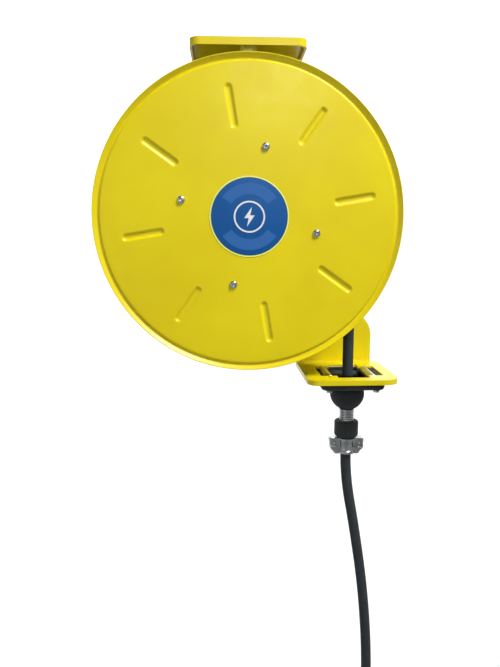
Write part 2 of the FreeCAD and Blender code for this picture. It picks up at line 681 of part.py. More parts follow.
def make_mainspring():
    """Flat power spring, wound as a spiral strip from the arbor to the case."""
    turns, strip, first = 9, 0.9, value(ARBOR_RADIUS) + 2
    last = value("%s - %g" % (SPRING_OUTER, SPRING_WALL)) - 1.5
    steps = 12 * turns
    inner, outer = [], []
    for k in range(steps + 1):
        angle = 2 * math.pi * turns * k / steps
        reach = first + (last - first) * k / steps
        direction = FreeCAD.Vector(math.cos(angle), 0, math.sin(angle))
        inner.append(direction * (reach - strip / 2))
        outer.append(direction * (reach + strip / 2))
    edges = []
    for points in (inner, outer[::-1]):
        curve = Part.BSplineCurve()
        curve.interpolate(points)
        edges.append(curve.toShape())
    edges.insert(1, Part.LineSegment(inner[-1], outer[-1]).toShape())
    edges.append(Part.LineSegment(outer[0], inner[0]).toShape())
    width = SPRING_DEPTH - SPRING_WALL - 2
    spiral = Part.Face(Part.Wire(edges)).extrude(FreeCAD.Vector(0, width, 0))
    thing = doc.addObject("Part::Feature", "mainspring")
    thing.Shape = spiral
    keep(thing, "mainspring")
    place(thing, y="%s + %g" % (spring_front(), SPRING_WALL + 1), z=AXIS_Z)


def make_ratchet_wheel():
    """Twelve teeth whose steep faces stop the drum from rewinding past the pawl."""
    face = ratchet_front()
    tip = "Dim.ratchet_diameter / 2"
    body = turned("ratchet_wheel", tube_profile(BOSS_RADIUS, tip, face, "%s + %g" % (face, RATCHET_THICK)))
    notch = new_sketch(body, "XZ_Plane", "-(%s - 1)" % face)
    outline(notch, [
        (0, "%s - 8" % tip), (0, "%s + 4" % tip), (-23, "%s + 4" % tip), (-23, "%s - 4.5" % tip),
    ])
    cut = pocket(body, notch, RATCHET_THICK + 2)
    repeat_round(body, cut, notch, 12)
    place(body, z=AXIS_Z)


def make_brushes():
    """Insulating holder on the rear hub, with a carbon brush for each ring."""
    body = new_body("brush_holder")
    start = collector_start()
    block = new_sketch(body, "XZ_Plane", "-%s" % start)
    rectangle(block, -9, 9, BRUSH_REACH, "%s + 17" % BRUSH_REACH)
    pad(body, block, "%s - %g - %s" % (hub_rear(), HUB_PLATE, start), reverse=True)
    place(body, z=AXIS_Z)
    brushes = new_body("brushes")
    spots = [(0, "%s + %g" % (start, 2 + RING_WIDTH / 2 + RING_PITCH * k)) for k in range(3)]
    start = "(%s + 0.3)" % RING_OUTER
    round_bar(brushes, "XY_Plane", spots, 1.8, start, "%s - %s" % (BRUSH_REACH, start))
    place(brushes, z=AXIS_Z)


def make_cord_anchor():
    """Clamp inside the barrel that takes the pull of the last turn."""
    body = new_body("cord_anchor")
    block = new_sketch(body, "XZ_Plane", "-(%s - 34)" % REAR_INNER)
    reach = "(Dim.core_diameter / 2 - Dim.core_wall - 2)"
    rectangle(block, -11, 11, "%s - 13" % reach, reach)
    pad(body, block, 18, reverse=True)
    place(body, z=AXIS_Z)


def make_cord_winding():
    """The stored cord as one ring between the discs."""
    low, high = "%s + Dim.spool_slack / 2" % FRONT_INNER, "%s - Dim.spool_slack / 2" % REAR_INNER
    round_off = "Dim.cord_size * 0.4"
    place(turned("cord_winding", [
        ("Dim.core_diameter / 2", low), (WINDING_RADIUS, low, round_off),
        (WINDING_RADIUS, high, round_off), ("Dim.core_diameter / 2", high),
    ]), z=AXIS_Z)


def make_disc_screws(label, face, outward):
    """Socket button-head screws through a disc into the core's flange and the hub."""
    head, socket = 2.6, 3
    away = outward > 0
    spots = spots_around(SCREW_CIRCLE, SCREW_START, 4)
    body = new_body(label)
    round_bar(body, "XZ_Plane", spots, "Dim.screw_size * 0.95", "-(%s)" % face, head, reverse=away)
    round_bar(body, "XZ_Plane", spots, "Dim.screw_size / 2", "-(%s)" % face,
              "Dim.disc_sheet + Dim.core_wall + %g" % (HUB_PLATE + 1), reverse=not away)
    sockets = new_sketch(body, "XZ_Plane", "-(%s + %g)" % (face, outward * head))
    for x, z in spots:
        hexagon(sockets, x, z, socket)
    pocket(body, sockets, head * 0.7, reverse=away)
    place(body, z=AXIS_Z)


def make_label():
    thick = 0.4
    face = "(%s - Dim.disc_sheet)" % FRONT_INNER
    profile = [(0, "%s - %g" % (face, thick)), ("Dim.label_diameter / 2", "%s - %g" % (face, thick)),
               ("Dim.label_diameter / 2", face), (0, face)]
    place(turned("drum_label", profile), z=AXIS_Z)


def make_pawl():
    """Hooked lever above the ratchet wheel, drawn lifted clear of the teeth."""
    body = new_body("pawl")
    blade = new_sketch(body, "XZ_Plane", "-%s" % ratchet_front())
    outline(blade, [(-9, -9, 7), (8, -9, 3), (43, -17), (46, -10), (10, 9, 4), (-9, 9, 7)])
    pad(body, blade, RATCHET_THICK, reverse=True)
    bore = new_sketch(body, "XZ_Plane", "-(%s - 1)" % ratchet_front())
    circle(bore, 0, 0, PAWL_PIN_RADIUS + RUNNING_FIT)
    pocket(body, bore, RATCHET_THICK + 2)
    place(body, x=PAWL_X, z="%s + %g" % (AXIS_Z, PAWL_Z))


# --- roller guide -------------------------------------------------------------------------

HOUSING_SCREW_RADIUS = 2
PIN_OVERHANG = 5        # pin length past each end of its roller
SIDE_AXIS_DROP = 3      # side roller axis below the guide plate's underside
CROSS_AXIS_DROP = 8     # cross roller axis below the guide plate's underside
MOUTH_GAP = 0.4         # ball stop to the housing's mouth

HOUSING_Z = "(%s - Dim.frame_sheet)" % GUIDE_Z
SIDE_AXIS = "(%s - %g)" % (HOUSING_Z, SIDE_AXIS_DROP)
CROSS_AXIS = "(%s - %g)" % (HOUSING_Z, CROSS_AXIS_DROP)
SIDE_PIN = "(Dim.roller_length + %g)" % (2 * PIN_OVERHANG)
CROSS_PIN = "(Dim.cross_roller_length + %g)" % (2 * PIN_OVERHANG)


def housing_screw_spots():
    """The four corners between the rollers' bays."""
    across, along = "(Dim.housing_width / 2 - 10.5)", "(Dim.housing_depth / 2 - 6)"
    return [("%s + %d * %s" % (CORD_X, sx, across), "%s + %d * %s" % (CORD_Y, sy, along))
            for sx in (1, -1) for sy in (1, -1)]


def round_edges(body, feature, radius, wanted):
    """Fillet the edges of a feature for which wanted(edge) is true."""
    doc.recompute()
    names = ["Edge%d" % (i + 1) for i, edge in enumerate(feature.Shape.Edges) if wanted(edge)]
    fillet = body.newObject("PartDesign::Fillet", "Fillet")
    fillet.Base = (feature, names)
    bind(fillet, Radius=radius)
    return fillet


def make_roller_housing():
    """Moulded frame under the guide plate with a bay for each roller and a round mouth."""
    body = new_body("roller_housing")
    block = new_sketch(body, "XY_Plane", HOUSING_Z)
    wide, deep = "Dim.housing_width / 2", "Dim.housing_depth / 2"
    rectangle(block, "%s - %s" % (CORD_X, wide), "%s + %s" % (CORD_X, wide),
              "%s - %s" % (CORD_Y, deep), "%s + %s" % (CORD_Y, deep), 8)
    solid = pad(body, block, "Dim.housing_height", reverse=True)
    floor = value("%s - Dim.housing_height" % HOUSING_Z)
    round_edges(body, solid, 5, lambda edge: edge.BoundBox.ZMax < floor + 0.01)
    bays = new_sketch(body, "XY_Plane", HOUSING_Z)
    plus_outline(bays, CORD_X, CORD_Y,
                 ("Dim.roller_spread + Dim.roller_size / 2 + 1.5", "Dim.roller_length / 2 + %g" % GAP),
                 ("Dim.cross_roller_length / 2 + %g" % GAP,
                  "Dim.cross_roller_spread + Dim.cross_roller_size / 2 + 1.5"))
    pocket(body, bays, "Dim.housing_height - 2")
    mouth = new_sketch(body, "XY_Plane", HOUSING_Z)
    circle(mouth, CORD_X, CORD_Y, "sqrt((Dim.ball_size / 2 + %g) ^ 2 - Dim.ball_seat ^ 2)" % MOUTH_GAP)
    pocket(body, mouth, "Dim.housing_height + 1")
    screws = new_sketch(body, "XY_Plane", HOUSING_Z)
    for x, y in housing_screw_spots():
        circle(screws, x, y, HOUSING_SCREW_RADIUS)
    pocket(body, screws, "Dim.housing_height + 1")
    along = new_sketch(body, "XZ_Plane", "-(%s)" % CORD_Y)
    across = new_sketch(body, "YZ_Plane", CORD_X)
    for side in (1, -1):
        circle(along, "%s + %d * Dim.roller_spread" % (CORD_X, side), SIDE_AXIS, "Dim.pin_size / 2")
        circle(across, "%s + %d * Dim.cross_roller_spread" % (CORD_Y, side), CROSS_AXIS, "Dim.pin_size / 2")
    for sketch, length in ((along, SIDE_PIN), (across, CROSS_PIN)):
        bores = pocket(body, sketch, length)
        bores.Midplane = True


def make_housing_screws():
    body = new_body("housing_screws")
    floor = "%s - Dim.housing_height" % HOUSING_Z
    round_bar(body, "XY_Plane", housing_screw_spots(), HOUSING_SCREW_RADIUS, GUIDE_Z,
              "Dim.frame_sheet + Dim.housing_height", reverse=True)
    round_bar(body, "XY_Plane", housing_screw_spots(), 3.8, floor, 2.4, reverse=True)


def make_roller_pins():
    """The four pins that the guide rollers turn on."""
    pins = []
    for side in (1, -1):
        for name, length, turn in (("side_pin", SIDE_PIN, 0), ("cross_pin", CROSS_PIN, 90)):
            pin = doc.addObject("Part::Cylinder", name)
            bind(pin, Radius="Dim.pin_size / 2", Height=length)
            lie_down = FreeCAD.Rotation(FreeCAD.Vector(1, 0, 0), -90)
            pin.Placement.Rotation = FreeCAD.Rotation(FreeCAD.Vector(0, 0, 1), -turn) * lie_down
            if turn:
                place(pin, "%s - %s / 2" % (CORD_X, length),
                      "%s + %d * Dim.cross_roller_spread" % (CORD_Y, side), CROSS_AXIS)
            else:
                place(pin, "%s + %d * Dim.roller_spread" % (CORD_X, side),
                      "%s - %s / 2" % (CORD_Y, length), SIDE_AXIS)
            pins.append(pin)
    group = doc.addObject("Part::Compound", "roller_pins")
    group.Links = pins
    keep(group, "roller_pins")


def make_roller(label, size, length, turn, x, y, z):
    """A tube roller with eased ends, turning on its pin."""
    bore = "Dim.pin_size / 2 + %g" % RUNNING_FIT
    end = "%s / 2" % length
    body = turned(label, [
        (bore, "-" + end), ("%s / 2" % size, "-" + end, 0.8), ("%s / 2" % size, end, 0.8), (bore, end),
    ])
    body.Placement.Rotation = FreeCAD.Rotation(FreeCAD.Vector(0, 0, 1), turn)
    place(body, x, y, z)


def make_rollers():
    side = ("Dim.roller_size", "Dim.roller_length", 0)
    cross = ("Dim.cross_roller_size", "Dim.cross_roller_length", 90)
    make_roller("roller_left", *side, "%s - Dim.roller_spread" % CORD_X, CORD_Y, SIDE_AXIS)
    make_roller("roller_right", *side, "%s + Dim.roller_spread" % CORD_X, CORD_Y, SIDE_AXIS)
    make_roller("roller_front", *cross, CORD_X, "%s - Dim.cross_roller_spread" % CORD_Y, CROSS_AXIS)
    make_roller("roller_back", *cross, CORD_X, "%s + Dim.cross_roller_spread" % CORD_Y, CROSS_AXIS)


# --- cord, ball stop and cord clamp ---------------------------------------------------------

CORD_BORE = "(Dim.cord_size / 2 + 0.05)"
NIPPLE_GAP = 0.09104     # nipple's top to the edge of the ball's bore
NIPPLE_DROP = "(sqrt((Dim.ball_size / 2) ^ 2 - %s ^ 2) + %g)" % (CORD_BORE, NIPPLE_GAP)
NIPPLE_LENGTH = 15.7
SLEEVE_DROP = "(%s + %g)" % (NIPPLE_DROP, NIPPLE_LENGTH)
SLEEVE_END = "(%s + 21)" % SLEEVE_DROP
CLAMP_DROP = "(%s + 2)" % SLEEVE_END
CLAMP_HEIGHT = 21.4


def cord_piece(label, start, length):
    """A straight length of cord that hangs down from start."""
    piece = doc.addObject("Part::Cylinder", label)
    bind(piece, Radius="Dim.cord_size / 2", Height=length)
    place(piece, CORD_X, CORD_Y, "%s - %s" % (start, length))
    return keep(piece, label)


def make_cord_lengths():
    """The cord from the winding to the ball, and on through the ball and clamp."""
    tangent = "sqrt(%s ^ 2 - (%s - Dim.cord_size) ^ 2)" % (WINDING_RADIUS, WINDING_RADIUS)
    top = "(%s - %s - 1)" % (AXIS_Z, tangent)
    ball_top = "(%s + Dim.ball_size / 2)" % STOP_Z
    cord_piece("cord_run", top, "(%s - %s)" % (top, ball_top))
    cord_piece("cord_through", ball_top, "(Dim.ball_size / 2 + %s + %g)" % (CLAMP_DROP, CLAMP_HEIGHT))


def make_ball_stop():
    ball = doc.addObject("Part::Sphere", "ball_blank")
    bind(ball, Radius="Dim.ball_size / 2")
    bore = doc.addObject("Part::Cylinder", "ball_bore")
    bind(bore, Radius=CORD_BORE, Height="Dim.ball_size + 2", Placement__Base__z="-Dim.ball_size / 2 - 1")
    stop = doc.addObject("Part::Cut", "ball_cut")
    stop.Base = ball
    stop.Tool = bore
    keep(stop, "ball_stop")
    place(stop, CORD_X, CORD_Y, STOP_Z)


def make_stop_fittings():
    """Threaded nipple and moulded sleeve between the ball and the cord clamp."""
    pitch = 2.6
    crest, root = "(%s + 2.65)" % CORD_BORE, "(%s + 1.65)" % CORD_BORE
    start, end = "-" + NIPPLE_DROP, "-" + SLEEVE_DROP
    profile = [(CORD_BORE, end), (CORD_BORE, start), (crest, start)]
    for k in range(int((NIPPLE_LENGTH - 1.4) / pitch)):
        top = 1.4 + pitch * k
        for radius, drop in ((crest, top), (root, top + 0.5), (root, top + 0.9), (crest, top + 1.4)):
            profile.append((radius, "%s - %g" % (start, drop)))
    profile.append((crest, end))
    place(turned("stop_nipple", profile, upright=True), CORD_X, CORD_Y, STOP_Z)
    outer, low = "(%s + 8.75)" % CORD_BORE, "-" + SLEEVE_END
    place(turned("stop_sleeve", [
        (CORD_BORE, low), (outer, low, 3), (outer, end, 2), (CORD_BORE, end),
    ], upright=True), CORD_X, CORD_Y, STOP_Z)


CLAMP_HALF_WIDE = 23
CLAMP_SCREW_X = 17.3
CLAMP_EAR = 6


def make_clamp(front_label, back_label, screws_label, x, y, z):
    """Two-screw cord clamp: two saddle halves that close on the cord, from z down."""
    ear, barrel = CLAMP_EAR, 11.85
    for label, turn in ((front_label, 180), (back_label, 0)):
        body = new_body(label)
        saddle = new_sketch(body, "XY_Plane")
        outline(saddle, [
            (-CLAMP_HALF_WIDE, GAP, 1), (CLAMP_HALF_WIDE, GAP, 1), (CLAMP_HALF_WIDE, ear, 2),
            (barrel + 1, ear, 1), (barrel - 3, barrel, 3), (3 - barrel, barrel, 3), (-barrel - 1, ear, 1),
            (-CLAMP_HALF_WIDE, ear, 2),
        ])
        pad(body, saddle, CLAMP_HEIGHT, reverse=True)
        bore = new_sketch(body, "XY_Plane")
        circle(bore, 0, 0, CORD_BORE)
        pocket(body, bore, CLAMP_HEIGHT + 1)
        holes = new_sketch(body, "XZ_Plane")
        for side in (1, -1):
            circle(holes, side * CLAMP_SCREW_X, -CLAMP_HEIGHT / 2, 2.6)
        pocket(body, holes, ear + 1)
        body.Placement.Rotation = FreeCAD.Rotation(FreeCAD.Vector(0, 0, 1), turn)
        place(body, x, y, z)
    spots = [(side * CLAMP_SCREW_X, -CLAMP_HEIGHT / 2) for side in (1, -1)]
    screws = new_body(screws_label)
    round_bar(screws, "XZ_Plane", spots, 2.5, -ear - 1.5, 2 * ear + 1.5)
    round_bar(screws, "XZ_Plane", spots, 4.3, ear, 2.6)
    slots = new_sketch(screws, "XZ_Plane", ear + 2.6)
    for px, pz in spots:
        rectangle(slots, px - 3.4, px + 3.4, pz - 0.6, pz + 0.6)
    pocket(screws, slots, 1.2)
    place(screws, x, y, z)


# The hanging cord, from the lower face of the cord clamp to the outlet box, by hand.
ROUTE = (
    (131.248, -20, -512.4),
    (131.248, -20, -545),
    (146, -18, -620),
    (161, -15, -712),
    (169.5, -13, -802),
    (171.5, -12, -880),
    (171.5, -12, -940),
)


def rounded_route(points):
    """Straight runs joined by tangent arcs, and the arcs' radii."""
    edges, radii = [], []
    here = points[0]
    for i in range(1, len(points) - 1):
        back, ahead = points[i - 1] - points[i], points[i + 1] - points[i]
        turn = math.pi - back.getAngle(ahead)
        reach = 0.45 * min(back.Length, ahead.Length)
        radius = reach / math.tan(turn / 2)
        back.normalize()
        ahead.normalize()
        entry, leave = points[i] + back * reach, points[i] + ahead * reach
        middle = points[i] + (back + ahead).normalize() * radius * (1 / math.cos(turn / 2) - 1)
        edges += [Part.LineSegment(here, entry).toShape(), Part.Arc(entry, middle, leave).toShape()]
        radii.append(radius)
        here = leave
    edges.append(Part.LineSegment(here, points[-1]).toShape())
    return Part.Wire(edges), radii


def make_pigtail():
    """The free cord between the clamp and the outlet box."""
    points = [FreeCAD.Vector(*point) for point in ROUTE]
    path, radii = rounded_route(points)
    radius = value("Dim.cord_size / 2")
    section = Part.Wire(Part.makeCircle(radius, points[0], points[1] - points[0]))
    tube = path.makePipeShell([section], True, True)
    print("cord radii", [round(r) for r in radii], "length %.1f" % path.Length)
    print("tube volume %.0f, section x length %.0f" % (tube.Volume, math.pi * radius ** 2 * path.Length))
    thing = doc.addObject("Part::Feature", "pigtail_cord")
    thing.Shape = tube
    keep(thing, "pigtail_cord")


# --- outlet box ---------------------------------------------------------------------------

BOX_X, BOX_Y, BOX_Z = ROUTE[-1]     # where the cord enters the box's clamp
GASKET = 2.5
SHELL_TOP = -(CLAMP_HEIGHT + GASKET)
FACE_PROUD = 1.5        # receptacle face in front of the cover
BUTTON_WIDE, BUTTON_HIGH = 11, 6.5
BUTTON_PROUD = 2.2
BUTTON_DEEP = 6
MIDDLE = "(%g - Dim.box_height / 2)" % SHELL_TOP
BOX_FRONT = "(Dim.box_depth / 2)"
COVER_SCREW = "(Dim.device_height / 2 + 8)"


def at_box(thing):
    return place(thing, BOX_X, BOX_Y, BOX_Z)


def make_outlet_box():
    """Open-fronted moulded box with a post for each cover screw."""
    body = new_body("outlet_box")
    half_wide, half_high = "Dim.box_width / 2", "Dim.box_height / 2"
    outer = new_sketch(body, "XZ_Plane", BOX_FRONT)
    rectangle(outer, "-" + half_wide, half_wide, "%s - %s" % (MIDDLE, half_high),
              "%s + %s" % (MIDDLE, half_high), 10)
    pad(body, outer, "Dim.box_depth", reverse=True)
    inner = new_sketch(body, "XZ_Plane", BOX_FRONT)
    half_wide, half_high = "(%s - Dim.box_wall)" % half_wide, "(%s - Dim.box_wall)" % half_high
    rectangle(inner, "-" + half_wide, half_wide, "%s - %s" % (MIDDLE, half_high),
              "%s + %s" % (MIDDLE, half_high), "10 - Dim.box_wall")
    pocket(body, inner, "Dim.box_depth - Dim.box_wall")
    posts = new_sketch(body, "XZ_Plane", "%s - 2.5" % BOX_FRONT)
    rectangle(posts, -6, 6, "%s + %s - 17" % (MIDDLE, half_high), "%s + %s + 1" % (MIDDLE, half_high))
    rectangle(posts, -6, 6, "%s - %s - 1" % (MIDDLE, half_high), "%s - %s + 17" % (MIDDLE, half_high))
    pad(body, posts, 20, reverse=True)
    screws = new_sketch(body, "XZ_Plane", BOX_FRONT)
    for side in (1, -1):
        circle(screws, 0, "%s + %d * %s" % (MIDDLE, side, COVER_SCREW), 1.75)
    pocket(body, screws, 18)
    entry = new_sketch(body, "XY_Plane", SHELL_TOP)
    circle(entry, 0, 0, CORD_BORE)
    pocket(body, entry, "Dim.box_wall + 1")
    at_box(body)


def make_box_gasket():
    at_box(turned("box_gasket", tube_profile(CORD_BORE, 14, SHELL_TOP, -CLAMP_HEIGHT), upright=True))


def make_box_cord():
    """The cord's end inside the clamp and the box."""
    tail = doc.addObject("Part::Cylinder", "box_cord")
    bind(tail, Radius="Dim.cord_size / 2", Height=38)
    keep(tail, "box_cord")
    place(tail, BOX_X, BOX_Y, "%g - 38" % BOX_Z)


def make_outlet_cover():
    body = new_body("outlet_cover")
    wide, high = "(Dim.box_width / 2 - 5)", "(Dim.box_height / 2 - 4.5)"
    plate = new_sketch(body, "XZ_Plane", BOX_FRONT)
    rectangle(plate, "-" + wide, wide, "%s - %s" % (MIDDLE, high), "%s + %s" % (MIDDLE, high), 8)
    slab = pad(body, plate, "Dim.cover_sheet")
    front = value("-%s - Dim.cover_sheet" % BOX_FRONT)
    round_edges(body, slab, 1, lambda edge: edge.BoundBox.YMax < front + 0.01)
    window = new_sketch(body, "XZ_Plane", "%s + Dim.cover_sheet" % BOX_FRONT)
    wide, high = "(Dim.device_width / 2 + 0.3)", "(Dim.device_height / 2 + 0.3)"
    rectangle(window, "-" + wide, wide, "%s - %s" % (MIDDLE, high), "%s + %s" % (MIDDLE, high), 1.5)
    for side in (1, -1):
        circle(window, 0, "%s + %d * %s" % (MIDDLE, side, COVER_SCREW), 2)
    pocket(body, window, "Dim.cover_sheet + 1")
    at_box(body)


def cover_screw_spots():
    return [(0, "%s + %d * %s" % (MIDDLE, side, COVER_SCREW)) for side in (1, -1)]


def make_cover_screws():
    body = new_body("cover_screws")
    face = "(%s + Dim.cover_sheet)" % BOX_FRONT
    round_bar(body, "XZ_Plane", cover_screw_spots(), 3.4, face, 1.8)
    round_bar(body, "XZ_Plane", cover_screw_spots(), 1.75, face, "Dim.cover_sheet + 15", reverse=True)
    slots = new_sketch(body, "XZ_Plane", "%s + 1.8" % face)
    for x, z in cover_screw_spots():
        rectangle(slots, -2.6, 2.6, "%s - 0.5" % z, "%s + 0.5" % z)
    pocket(body, slots, 0.9)
    at_box(body)


def button_spots():
    """Left, right, low and high edges of the test and reset buttons."""
    spots = []
    for side in (-1, 1):
        middle = side * (BUTTON_WIDE / 2 + 1.2)
        spots.append((middle - BUTTON_WIDE / 2, middle + BUTTON_WIDE / 2,
                      "%s - %g" % (MIDDLE, BUTTON_HIGH / 2), "%s + %g" % (MIDDLE, BUTTON_HIGH / 2)))
    return spots


def make_receptacle():
    """Protected duplex receptacle: two sockets with a button strip between them."""
    body = new_body("receptacle")
    front = "(%s + Dim.cover_sheet + %g)" % (BOX_FRONT, FACE_PROUD)
    block = new_sketch(body, "XZ_Plane", front)
    wide, high = "Dim.device_width / 2", "Dim.device_height / 2"
    rectangle(block, "-" + wide, wide, "%s - %s" % (MIDDLE, high), "%s + %s" % (MIDDLE, high), 1.2)
    pad(body, block, 34, reverse=True)
    slots = new_sketch(body, "XZ_Plane", front)
    for side in (1, -1):
        centre = "%s + %g" % (MIDDLE, side * 20.5)
        rectangle(slots, -7.3, -5.2, "%s - 0.5" % centre, "%s + 7.5" % centre)
        rectangle(slots, 5.3, 7.2, "%s + 0.2" % centre, "%s + 6.8" % centre)
        circle(slots, 0, "%s - 6" % centre, 2.5)
    pocket(body, slots, 14)
    wells = new_sketch(body, "XZ_Plane", front)
    for left, right, low, high in button_spots():
        rectangle(wells, left - 0.35, right + 0.35, "%s - 0.35" % low, "%s + 0.35" % high)
    pocket(body, wells, BUTTON_DEEP + 2)
    at_box(body)


def make_device_ears():
    """The receptacle's metal mounting ears, fixed by the cover screws."""
    body = new_body("device_ears")
    plate = new_sketch(body, "XZ_Plane", "%s - 1.3" % BOX_FRONT)
    for side in (1, -1):
        low = "%s + %d * Dim.device_height / 2" % (MIDDLE, side)
        high = "%s + %d * (Dim.device_height / 2 + 14)" % (MIDDLE, side)
        rectangle(plate, -10, 10, low, high)
    for x, z in cover_screw_spots():
        circle(plate, x, z, 1.85)
    pad(body, plate, 1.2)
    at_box(body)


def make_buttons():
    front = "(%s + Dim.cover_sheet + %g)" % (BOX_FRONT, FACE_PROUD + BUTTON_PROUD)
    for label, edges in zip(("test_button", "reset_button"), button_spots()):
        body = new_body(label)
        cap = new_sketch(body, "XZ_Plane", front)
        rectangle(cap, *edges, 0.8)
        pad(body, cap, "%g" % (BUTTON_DEEP + BUTTON_PROUD - 0.4), reverse=True)
        at_box(body)


def build():
    make_mounting_base()
    make_base_nuts()
    make_frame_upright()
    make_guide_arm()
    make_arm_bolts()
    make_main_shaft()
    make_spring_arbor()
    make_collector()
    make_pawl_pin()
    make_pawl_spring()
    make_disc("front_disc", -1, 0, FRONT_INNER)
    make_disc("rear_disc", 1, BOSS_RADIUS + GAP, REAR_INNER)
    make_drum_core()
    make_hubs()
    make_bearing("front_bearing", "(%s + 2)" % hub_front())
    make_bearing("rear_bearing", "(%s - Dim.bearing_width)" % hub_rear())
    make_spring_case()
    make_mainspring()
    make_ratchet_wheel()
    make_brushes()
    make_cord_anchor()
    make_cord_winding()
    make_disc_screws("front_screws", "(%s - Dim.disc_sheet)" % FRONT_INNER, -1)
    make_disc_screws("rear_screws", "(%s + Dim.disc_sheet)" % REAR_INNER, 1)
    make_label()
    make_pawl()
    make_roller_housing()
    make_housing_screws()
    make_roller_pins()
    make_rollers()
    make_cord_lengths()
    make_ball_stop()
    make_stop_fittings()
    make_clamp("clamp_front", "clamp_back", "clamp_screws", CORD_X, CORD_Y, "%s - %s" % (STOP_Z, CLAMP_DROP))
    make_pigtail()
    make_clamp("box_clamp_front", "box_clamp_back", "box_clamp_screws", BOX_X, BOX_Y, BOX_Z)
    make_box_gasket()
    make_box_cord()
    make_outlet_box()
    make_outlet_cover()
    make_cover_screws()
    make_receptacle()
    make_device_ears()
    make_buttons()


def write_nodes():
    """Refuse a failed object or an empty or broken shape, then write every sub-part."""
    doc.recompute()
    for thing in doc.Objects:
        if "Invalid" in thing.State or "Error" in thing.State:
            raise RuntimeError("%s failed: %s" % (thing.Label, thing.State))
    for node in nodes:
        if node.Shape.isNull() or not node.Shape.isValid() or not node.Shape.Solids:
            raise RuntimeError("%s has no sound shape" % node.Label)
    os.makedirs("parts", exist_ok=True)
    for node in nodes:
        node.Shape.exportStep("parts/%s.step" % node.Label)
    print(len(nodes), "sub-parts written")


build()
write_nodes()
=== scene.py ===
"""Spring-return extension cord reel: its finishes, cords, pressings and studio."""

import logging
import math
from dataclasses import dataclass
from enum import Enum
from typing import Iterable, Sequence

import bpy
from mathutils import Euler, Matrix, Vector


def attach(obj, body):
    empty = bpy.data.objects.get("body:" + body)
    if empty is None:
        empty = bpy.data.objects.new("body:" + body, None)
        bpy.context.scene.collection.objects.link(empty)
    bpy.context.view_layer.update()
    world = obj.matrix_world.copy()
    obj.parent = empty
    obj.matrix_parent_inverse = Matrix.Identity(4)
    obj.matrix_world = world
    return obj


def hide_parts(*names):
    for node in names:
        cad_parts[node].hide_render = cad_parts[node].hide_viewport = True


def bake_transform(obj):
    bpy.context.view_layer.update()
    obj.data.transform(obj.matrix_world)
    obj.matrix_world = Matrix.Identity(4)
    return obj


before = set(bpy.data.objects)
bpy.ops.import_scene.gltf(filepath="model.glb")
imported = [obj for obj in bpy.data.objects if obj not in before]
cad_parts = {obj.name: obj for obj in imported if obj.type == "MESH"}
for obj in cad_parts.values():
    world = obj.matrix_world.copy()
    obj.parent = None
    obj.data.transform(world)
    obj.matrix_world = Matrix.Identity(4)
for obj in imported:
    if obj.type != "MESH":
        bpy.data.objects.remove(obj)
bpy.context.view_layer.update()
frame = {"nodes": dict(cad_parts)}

MM = 0.001
DRUM_AXIS_Z = -205.0     # mm below the ceiling
CORD_X = 131.248         # mm, where the cord leaves the winding
CORD_Y = -20.0
CORD_RADIUS = 7.0

Point = tuple[float, float, float]
log = logging.getLogger("cord_reel")


class Slot(str, Enum):
    """The record's material slots that the pieces take their finish from."""

    REEL_YELLOW = "reel_yellow"
    LABEL_BLUE = "label_blue"
    ZINC = "zinc"
    STEEL = "steel"
    SPRING_STEEL = "spring_steel"
    PAINTED_BOLT = "painted_bolt"
    CORE_STEEL = "core_steel"
    CAST_HUB = "cast_hub"
    COPPER_RING = "copper_ring"
    CARBON = "carbon"
    INSULATOR = "insulator"
    BLACK_NYLON = "black_nylon"
    CORD_JACKET = "cord_jacket"
    STOP_RUBBER = "stop_rubber"
    BOX_YELLOW = "box_yellow"
    BOX_BLUE = "box_blue"
    GASKET_ORANGE = "gasket_orange"
    DEVICE_BROWN = "device_brown"
    BUTTON_BLACK = "button_black"
    BUTTON_RED = "button_red"


# --- small tools --------------------------------------------------------------------------


def linear(colour: str) -> tuple[float, float, float, float]:
    """Turn an sRGB hex colour into linear light.

    Args:
        colour: The colour as "#rrggbb".

    Returns:
        Red, green, blue and an alpha of one.
    """
    parts = [int(colour[k:k + 2], 16) / 255 for k in (1, 3, 5)]
    red, green, blue = (
        c / 12.92 if c <= 0.04045 else ((c + 0.055) / 1.055) ** 2.4 for c in parts
    )
    return red, green, blue, 1.0


def add_node(
    tree: bpy.types.NodeTree,
    kind: str,
    inputs: dict[str | int, object] | None = None,
    **settings: object,
) -> bpy.types.Node:
    """Add one shader node.

    Args:
        tree: The material's node tree.
        kind: The node's type.
        inputs: Input name or index to a constant, or to the socket that feeds it.
        **settings: The node's own properties.

    Returns:
        The new node.
    """
    node = tree.nodes.new(kind)
    for name, setting in settings.items():
        setattr(node, name, setting)
    for name, given in (inputs or {}).items():
        socket = node.inputs[name]
        if isinstance(given, bpy.types.NodeSocket):
            tree.links.new(given, socket)
        else:
            socket.default_value = given
    return node


def mesh_piece(
    name: str, points: Sequence[Point], faces: Sequence[Sequence[int]]
) -> bpy.types.Object:
    """Make a smooth-shaded mesh piece from points in millimetres.

    Args:
        name: The piece's name.
        points: Its points in the row frame, in millimetres.
        faces: Each face as indices into points.

    Returns:
        The new object, at the origin.
    """
    mesh = bpy.data.meshes.new(name)
    mesh.from_pydata([(x * MM, y * MM, z * MM) for x, y, z in points], [], faces)
    mesh.update()
    mesh.shade_smooth()
    piece = bpy.data.objects.new(name, mesh)
    bpy.context.scene.collection.objects.link(piece)
    return piece


